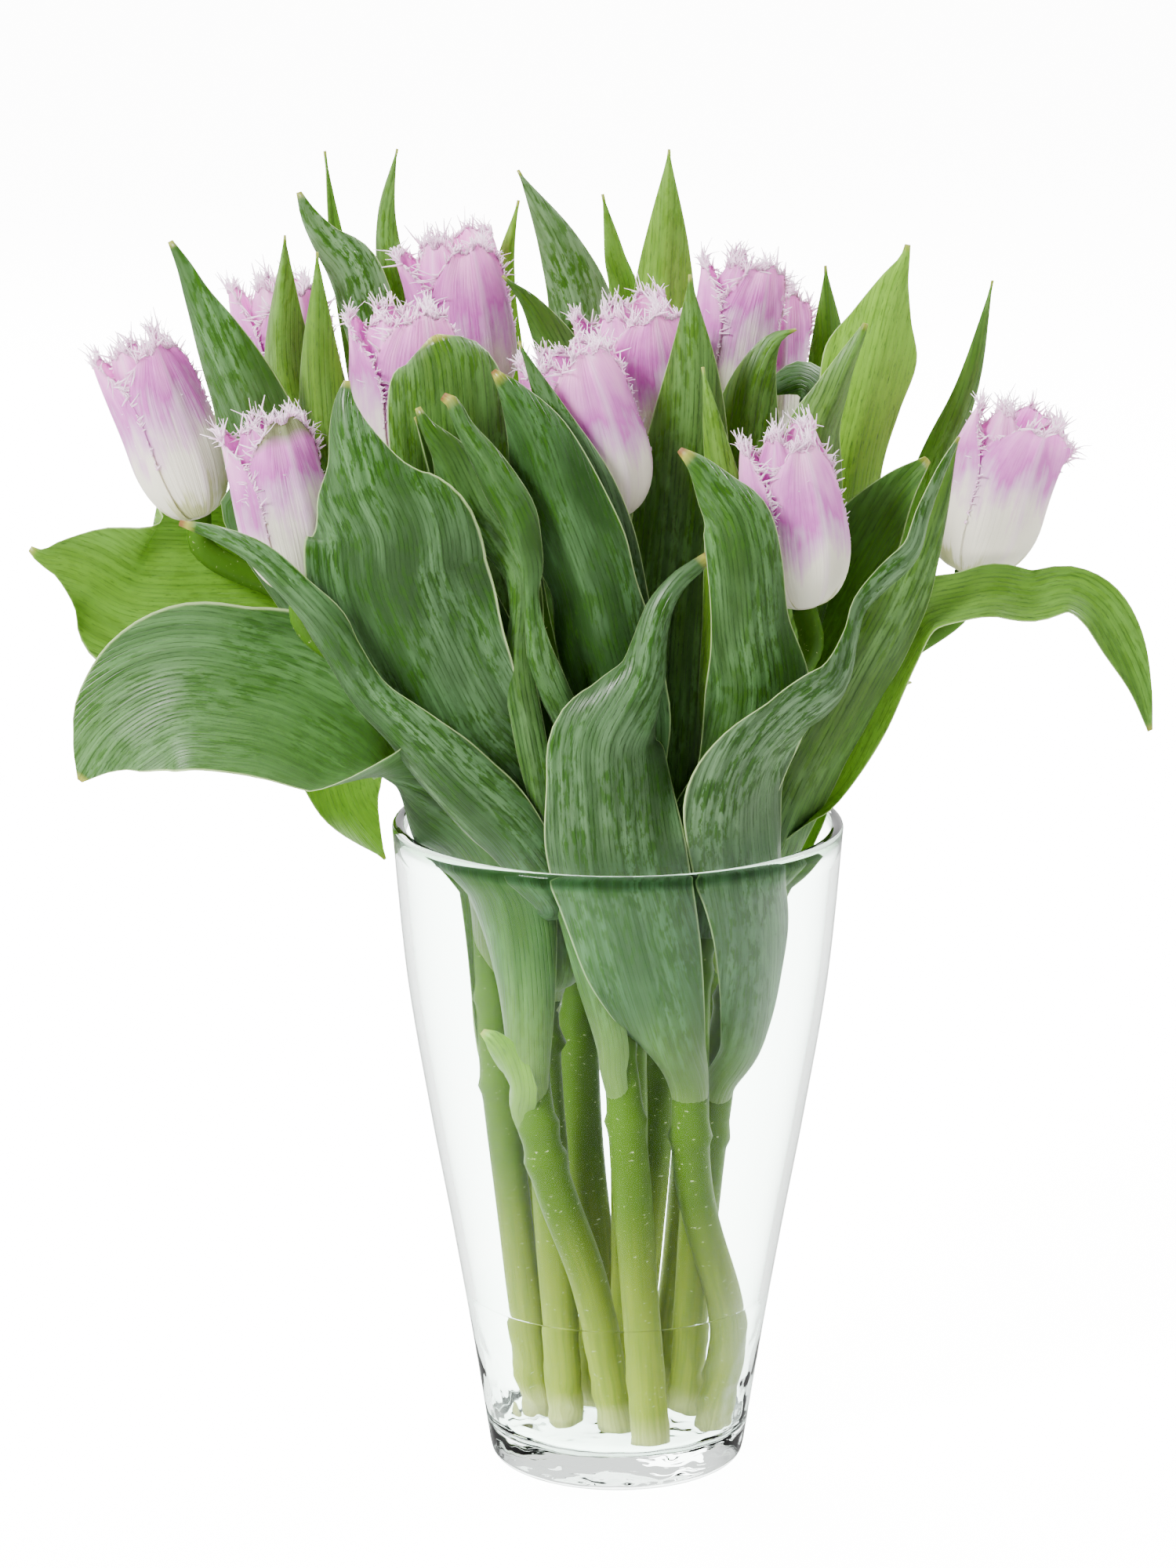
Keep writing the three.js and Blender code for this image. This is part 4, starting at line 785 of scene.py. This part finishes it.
def addDroplets(mould, layers, rng):  # a few beads of water left on both sides of a leaf
    f = dropForm
    rows, columns = layers.shape[1:3]
    for _ in range(f["count"]):
        side, j, k = rng.integers(2), rng.integers(rows // 3, rows - 6), rng.integers(3, columns - 3)
        at = layers[side, j, k]
        out = unit(np.cross(layers[side, j, k + 1] - at, layers[side, j + 1, k] - at))
        out = out if np.dot(out, at - layers[1 - side, j, k]) > 0 else -out
        across = unit(layers[side, j, k + 1] - at)
        other = np.cross(out, across)
        radius = mix(f["smallest"], f["largest"], rng.random() ** 2)
        rise = np.radians([-60, -20, 20, 55, 82])[:, None, None]
        turn = circle(8)[:, None]
        bead = (across * np.cos(turn) + other * np.sin(turn)) * np.cos(rise) + out * np.sin(rise) * f["flat"]
        mould.add((at + bead * radius).reshape(-1, 3), tubeFaces(5, 8), 2, (0, 0, 0), (0, 0, 0))


bloomForm = {
    "height": 60, "radius": 17.5, "mouthRadius": 13.5, "belly": 0.38, "halfAngle": 1.2, "tipHalfAngle": 0.6,
    "thickness": 0.5, "rows": 30, "columns": 33, "lap": 0.55, "keel": 0.7,
    "outer": {"foot": 4, "full": 1, "mouth": 1.2}, "inner": {"foot": 2.4, "full": -1.2, "mouth": -4.5},
}
fringeForm = {"from": 0.34, "teeth": 185, "sideShare": 0.3, "shortest": 1.2, "longest": 4.4, "root": 0.38,
              "tip": 0.1, "sunk": 0.5, "lift": 0.35, "scatter": 0.36, "curl": 0.45}


def petalAt(tulip, petal, t, s, offset=0.0):  # a petal's place for t up it and s across it, -1 to 1
    f, outer = bloomForm, petal["outer"]
    whorl = f["outer" if outer else "inner"]
    full = f["radius"] * tulip["swell"] + whorl["full"]
    mouth = f["mouthRadius"] * tulip["mouth"] + whorl["mouth"]
    shoulder = f["belly"] * f["height"] * 0.94
    rise = np.minimum(t / f["belly"], 1) * np.pi / 2
    upper = np.clip((t - f["belly"]) / (1 - f["belly"]), 0, None)
    reach = np.where(t < f["belly"], mix(whorl["foot"], full, np.sin(rise)), mix(full, mouth, upper**1.6))
    level = np.where(t < f["belly"], shoulder * (1 - np.cos(rise)), mix(shoulder, f["height"] * 0.93, upper))
    narrowing = mix(f["halfAngle"], f["tipHalfAngle"], np.clip((t - 0.55) / 0.45, 0, 1) ** 2)
    angle = s * narrowing + petal["turn"]
    a, b, c = petal["chances"]
    wander = ease(t * 1.5) * (0.55 * np.sin(2.1 * s + 4 * t + a * 6) + 0.35 * np.sin(4.7 * s - 3 * t + b * 6))
    wander = wander + 0.35 * t**2 * np.sin(11 * s + 3 * t + c * 6)
    wander = wander + upper**1.8 * tulip.get("open", 0) * np.cos(angle)
    keel = f["keel"] * np.exp(-((s / 0.1) ** 2)) * ease(t * 3) * (1 - 0.4 * t) + f["lap"] * s if outer else 0
    flare = petal["flare"] * upper**2.5
    radius = reach + offset + wander + keel + flare - (0 if outer else 0.5 * s * s)
    level = level + 0.6 - 3.5 * np.abs(s) ** 3 * t**6 + (1.0 * np.sin(7 * s + c * 6) + petal["taller"]) * t**8
    return np.stack([radius * np.cos(angle), radius * np.sin(angle), level], -1)


def addPetal(mould, tulip, petal, finish):
    rows, columns = bloomForm["rows"], bloomForm["columns"]
    t = np.linspace(0, 1, rows)[:, None]
    s = np.concatenate([[-1, -0.98], np.linspace(-0.92, 0.92, columns - 4), [0.98, 1]])[None, :]
    edge = np.sqrt(np.clip(1.03 - s**2, 0, 1)) * np.sqrt(np.clip(1.02 - t**4, 0, 1))
    half = bloomForm["thickness"] / 2 * edge
    layers = np.array([petalAt(tulip, petal, t, s, side * half) for side in (1, -1)])
    width = bloomForm["radius"] * bloomForm["halfAngle"] * s
    chance = petal["chances"][0]
    place = np.stack(np.broadcast_arrays(width, t * 62, chance * 50), -1)
    green = petal["green"] * ease((t - 0.86) / 0.08)
    look = np.stack(np.broadcast_arrays(green, layers[0][..., 2] / bloomForm["height"], chance), -1)
    faces = shellFaces(rows, columns)
    mould.add(tulip["turned"](layers.reshape(-1, 3)), faces, finish, np.array([place, place]).reshape(-1, 3),
              np.array([look, look]).reshape(-1, 3))


def addFringe(mould, tulip, petal, rng, finish):  # tapered, curling teeth along a petal's upper margin
    f = fringeForm
    count, sideShare = f["teeth"], f["sideShare"]
    m = np.sort(rng.random(count))
    onSide = (m < sideShare) | (m > 1 - sideShare)
    t = np.where(onSide, mix(f["from"], 1, np.minimum(m, 1 - m) / sideShare), 1.0)
    s = np.where(onSide, np.sign(m - 0.5), (m - 0.5) / (0.5 - sideShare))
    edge = petalAt(tulip, petal, t, s)
    inside = petalAt(tulip, petal, np.where(onSide, t - 0.01, 0.96), s * np.where(onSide, 0.9, 1.0))
    outward = unit(edge - inside)
    normal = unit(np.stack([edge[:, 0], edge[:, 1], 0 * t], -1))
    outward = unit(outward + np.array([0, 0, f["lift"]]))
    length = mix(f["shortest"], f["longest"], ease((t - f["from"]) / 0.5))
    length = length * rng.uniform(0.3, 1.15, count) ** 1.3
    way = unit(outward + rng.normal(0, f["scatter"], (count, 3)) + normal * 0.1)
    bend = rng.normal(0, f["curl"], (count, 3))
    share = np.array([0, 0.3, 0.65, 1.0])
    run = share[None, :, None] * length[:, None, None]
    centre = (edge - outward * f["sunk"])[:, None] + way[:, None] * run
    centre = centre + bend[:, None] * run * share[None, :, None] * 0.8
    across = unit(np.cross(way, rng.normal(0, 1, (count, 3))))
    other = np.cross(way, across)
    thick = mix(f["root"], f["tip"], share)[None, :, None, None]
    thick = thick * rng.uniform(0.6, 1.6, count)[:, None, None, None]
    turn = np.arange(4) * np.pi / 2
    ring = across[:, None, None] * np.cos(turn)[:, None] + other[:, None, None] * np.sin(turn)[:, None]
    body = centre[:, :, None] + ring * thick
    shade = np.broadcast_to(mix(0.98, 1.25, share)[None, :, None], body.shape[:3])
    look = np.stack([np.zeros_like(shade), shade, np.full_like(shade, 0.5)], -1)
    tooth = tubeFaces(len(share), len(turn))
    faces = [face + k * len(share) * len(turn) for k in range(count) for face in tooth]
    mould.add(tulip["turned"](body.reshape(-1, 3)), faces, finish, (0, 0, 0), look.reshape(-1, 3))


def addReceptacle(mould, tulip, finish):
    profile, sides = [[0.3, 0], [4.2, 0], [5.4, 1.2], [6.5, 3], [0.3, 4]], 24
    body = spun(profile, circle(sides)).reshape(-1, 3)
    mould.add(tulip["turned"](body), tubeFaces(len(profile), sides), finish, (0, 0, 0), (0, 0.02, 0))


heartForm = {
    "stamens": 6, "reach": 4.4, "spread": 2.4, "filament": 0.7, "anther": 1.3, "top": 25,
    "pistil": [[0.3, 3.4], [2.2, 4], [2.8, 9], [2.6, 17], [1.9, 21], [3.4, 23.5], [2.8, 24.6], [0.3, 24]],
}


def addHeart(mould, tulip):  # the pistil and six stamens on the receptacle, seen from above
    f = heartForm
    turn, pistil = circle(18), np.array(f["pistil"])
    lobes = 1 + 0.25 * np.cos(3 * turn) * (pistil[:, 1:] > 21)  # only the stigma has three lobes
    body = spun(pistil, turn, lobes).reshape(-1, 3)
    mould.add(tulip["turned"](body), tubeFaces(len(pistil), len(turn)), 0, (0, 0, 0), (0.6, 0.2, 0.3))
    for k in range(f["stamens"]):
        bearing = np.pi / 6 + k * 2 * np.pi / f["stamens"]
        out = np.array([np.cos(bearing), np.sin(bearing), 0])
        for finish, low, high, radii in ((0, 3, 15, [1, 1, 0.8, 0.8]), (1, 14.5, f["top"], [0.3, 1, 1, 0.3])):
            levels = np.linspace(low, high, 4)
            girth = np.array(radii) * (f["anther"] if finish else f["filament"])
            centre = out * (f["reach"] + f["spread"] * levels / f["top"])[:, None]
            centre = centre + levels[:, None] * np.array([0, 0, 1])
            ring = np.stack([np.cos(circle(8)), np.sin(circle(8)), np.zeros(8)], -1)
            tube = (centre[:, None] + ring * girth[:, None, None]).reshape(-1, 3)
            mould.add(tulip["turned"](tube), tubeFaces(4, 8), finish, (0, 0, 0), (0.2, 0.2, 0.3))


def placeOnHead(tulip):  # turns +Z to the way the bloom leans and puts it on the stem's head
    axis = unit(tulip["lean"])
    w = np.cross((0, 0, 1), axis)
    skew = np.array([[0, -w[2], w[1]], [w[2], 0, -w[0]], [-w[1], w[0], 0]])
    turn = np.eye(3) + skew + skew @ skew / (1 + axis[2])
    size = np.array([1, 1, tulip.get("tall", 1)])
    return lambda points: (points * size) @ turn.T + np.array(tulip["head"]) + axis * 0.7


for number, tulip in enumerate(tulips):
    rng = np.random.default_rng(100 + number)
    green = Mould()
    addStem(green, tulip, rng.random())
    for leaf in tulip["leaves"]:
        layers = addLeaf(green, tulip, leaf, rng.random())
        addDroplets(green, layers, np.random.default_rng(number * 50 + len(green.points)))
    stem = green.make(f"leafyStem_{tulip['name']}", [stemMaterial, leafMaterial, beadMaterial])
    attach(stem, "root")
    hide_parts(f"stem_{tulip['name']}")
    tulip["turned"] = placeOnHead(tulip)
    cup = Mould()
    addReceptacle(cup, tulip, 0)
    addHeart(cup, tulip)
    for k in range(6):
        outer = k % 2 == 1
        petal = {"outer": outer, "turn": k * np.pi / 3, "chances": rng.random(3),
                 "green": 0.85 if k == tulip.get("greenPetal") else 0.0,
                 "flare": rng.uniform(-2.0, 1.5) if outer else rng.uniform(-1.5, 1.0),
                 "taller": rng.uniform(-2.5, 1.5)}
        addPetal(cup, tulip, petal, 0)
        addFringe(cup, tulip, petal, rng, 0)
    bloom = cup.make(f"fringedBloom_{tulip['name']}", [petalMaterial, antherMaterial])
    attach(bloom, "root")
    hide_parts(f"bloom_{tulip['name']}")
print("tulips made")


wallPoints = [(43, 4), (48.5, 40), (55.6, 82), (62.8, 122), (70.4, 170), (75, 220.5)]  # radius and height
outside = splineAt(wallPoints, np.linspace(0, 1, 60), steady=True)


def lathe(name, profile, material):
    mould, sides = Mould(), vase["sides"]
    mould.add(spun(profile, circle(sides)), tubeFaces(len(profile), sides), 0, (0, 0, 0), (0, 0, 0))
    return mould.make(name, [material])


def arc(centre, radius, start, end, steps=8):
    turn = np.radians(np.linspace(start, end, steps))
    return [(centre[0] + radius * math.cos(a), centre[1] + radius * math.sin(a)) for a in turn]


def innerRadius(z):  # inside the wall, which ripples a little near the foot, where the glass was pressed
    ripple = vase["ripple"] * math.sin(z * 1.15) * math.exp(-((z - 26) / 12) ** 2)
    return np.interp(z, outside[:, 1], outside[:, 0]) - vase["wall"] + ripple


bowlCorner = (innerRadius(vase["floor"] + 6) - 6, vase["floor"] + 6)  # where the wall turns into the floor
foot = arc((vase["footRadius"] - 4.2, 4), 4, -88, -8)
lip = arc((vase["rimRadius"] - vase["lip"], vase["height"] - vase["lip"]), vase["lip"], 8, 200, 14)
inner = [(innerRadius(z), z) for z in np.linspace(vase["height"] - 7, vase["floor"] + 6, 50)]
bowlFloor = arc(bowlCorner, 6, -8, -88)
punt = [(r, 0.4 + vase["punt"] * math.cos(r / 36 * math.pi / 2)) for r in (0.2, 9, 18, 25, 30, 33, 36)]
glassProfile = [*punt, *foot, *outside[1:-1], *lip, *inner, *bowlFloor, (0.2, vase["floor"])]
glass = lathe("glassVase", glassProfile, glassMaterial)
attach(glass, "root")
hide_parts("vase")

into = waterForm["into"]
bed = arc(bowlCorner, 6 + into, -88, -8)
wet = [(innerRadius(z) + into, z) for z in np.linspace(vase["floor"] + 6.5, waterForm["level"], 20)]
rim = innerRadius(waterForm["level"])
flat = waterForm["level"] - waterForm["meniscus"]  # the water's level away from the wall
meniscus = [(rim - d, flat + waterForm["meniscus"] * math.exp(-d / 1.5)) for d in (0.3, 0.8, 1.6, 2.6, 4, 7)]
waterProfile = [(0.2, vase["floor"] - into), *bed, *wet, *meniscus, (0.2, flat)]
water = lathe("vaseWater", waterProfile, waterMaterial)
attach(water, "root")
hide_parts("water")
print("glass and water made")

# The floor glows evenly like a light table, but shows dark in mirror reflections, as under a polarising
# filter, so that the clear glass stays clear from every side.
studio = {"floor": "#f6f6f5", "glow": 0.28, "seen": 13.0, "sky": 15.5, "through": 9.0, "mirrored": 0.5,
          "front": 0.04, "behind": 2.3, "skyward": 0.6}
floorMesh = bpy.data.meshes.new("floor")
floorMesh.from_pydata([(-6, -6, 0), (6, -6, 0), (6, 6, 0), (-6, 6, 0)], [], [(0, 1, 2, 3)])
floor = bpy.data.objects.new("floor", floorMesh)
bpy.context.scene.collection.objects.link(floor)


def addRays(tree):  # whether a ray comes from the eye, straight or through glass, or from a mirror reflection
    rays = addNode(tree, "LightPath").outputs
    clear = addNode(tree, "Math", {0: rays["Is Singular Ray"], 1: rays["Is Transmission Ray"]},
                    operation="MULTIPLY")
    bounced = addNode(tree, "Math", {0: rays["Diffuse Depth"], 1: rays["Glossy Depth"]}, operation="ADD")
    first = addNode(tree, "Math", {0: bounced, 1: 0.5}, operation="LESS_THAN")
    direct = addNode(tree, "Math", {0: clear, 1: first}, operation="MULTIPLY")
    inGlass = addNode(tree, "Math", {0: direct, 1: studio["through"] / studio["seen"]},
                      operation="MULTIPLY")
    eye = addNode(tree, "Math", {0: rays["Is Camera Ray"], 1: inGlass}, operation="MAXIMUM")
    mirror = addNode(tree, "Math", {0: rays["Is Glossy Ray"], 1: rays["Is Transmission Ray"]},
                     operation="SUBTRACT", use_clamp=True)
    return eye, mirror


floorMaterial, tree = newMaterial("pale studio paper")
eye, mirror = addRays(tree)
glow = addNode(tree, "MapRange", {"Value": eye, "To Min": studio["glow"], "To Max": studio["seen"]})
lit = addNode(tree, "BsdfPrincipled", {
    "Base Color": linear(studio["floor"]), "Roughness": 0.9, "Emission Color": linear(studio["floor"]),
    "Emission Strength": glow})
dim = addNode(tree, "Emission", {"Color": linear(studio["floor"]), "Strength": studio["mirrored"]})
paper = addNode(tree, "MixShader", {0: mirror, 1: lit, 2: dim})
addNode(tree, "OutputMaterial", {0: paper})
floorMesh.materials.append(floorMaterial)

world = bpy.data.worlds.new("studio")
bpy.context.scene.world = world
world.use_nodes = True
air = world.node_tree
air.nodes.clear()
toward = addNode(air, "SeparateXYZ", {0: addNode(air, "TexCoord").outputs["Generated"]})
upper = addNode(air, "Math", {0: toward.outputs[2], 1: studio["skyward"], 2: toward.outputs[1]},
                operation="MULTIPLY_ADD")
strength = addNode(air, "MapRange", {
    "Value": upper, "From Min": -0.4, "From Max": 0.9, "To Min": studio["front"],
    "To Max": studio["behind"]})
eye, mirror = addRays(air)
seen = addNode(air, "Math", {0: eye, 1: studio["sky"]}, operation="MULTIPLY")
brightness = addNode(air, "Math", {0: strength, 1: seen}, operation="MAXIMUM")
addNode(air, "OutputWorld", {0: addNode(air, "Background", {"Strength": brightness})})

lamps = [
    {"name": "key", "place": (-1.7, -1.6, 1.9), "aim": (0, 0, 0.25), "size": 0.8, "watts": 205},
    {"name": "back", "place": (-0.7, 1.8, 1.4), "aim": (0, 0, 0.3), "size": 1.4, "watts": 120},
    {"name": "left", "place": (-1.5, 0.8, 1.6), "aim": (0, 0, 0.35), "size": 0.7, "watts": 50},
    {"name": "right", "place": (1.5, 0.8, 1.6), "aim": (0, 0, 0.35), "size": 0.7, "watts": 70},
]
for lamp in lamps:
    data = bpy.data.lights.new(lamp["name"], "AREA")
    data.shape, data.size, data.energy = "DISK", lamp["size"], lamp["watts"]
    light = bpy.data.objects.new(lamp["name"], data)
    light.location = lamp["place"]
    way = unit(np.array(lamp["place"]) - np.array(lamp["aim"]))
    light.rotation_euler = (math.acos(way[2]), 0, math.atan2(way[1], way[0]) + math.pi / 2)
    bpy.context.scene.collection.objects.link(light)
print("stage set")
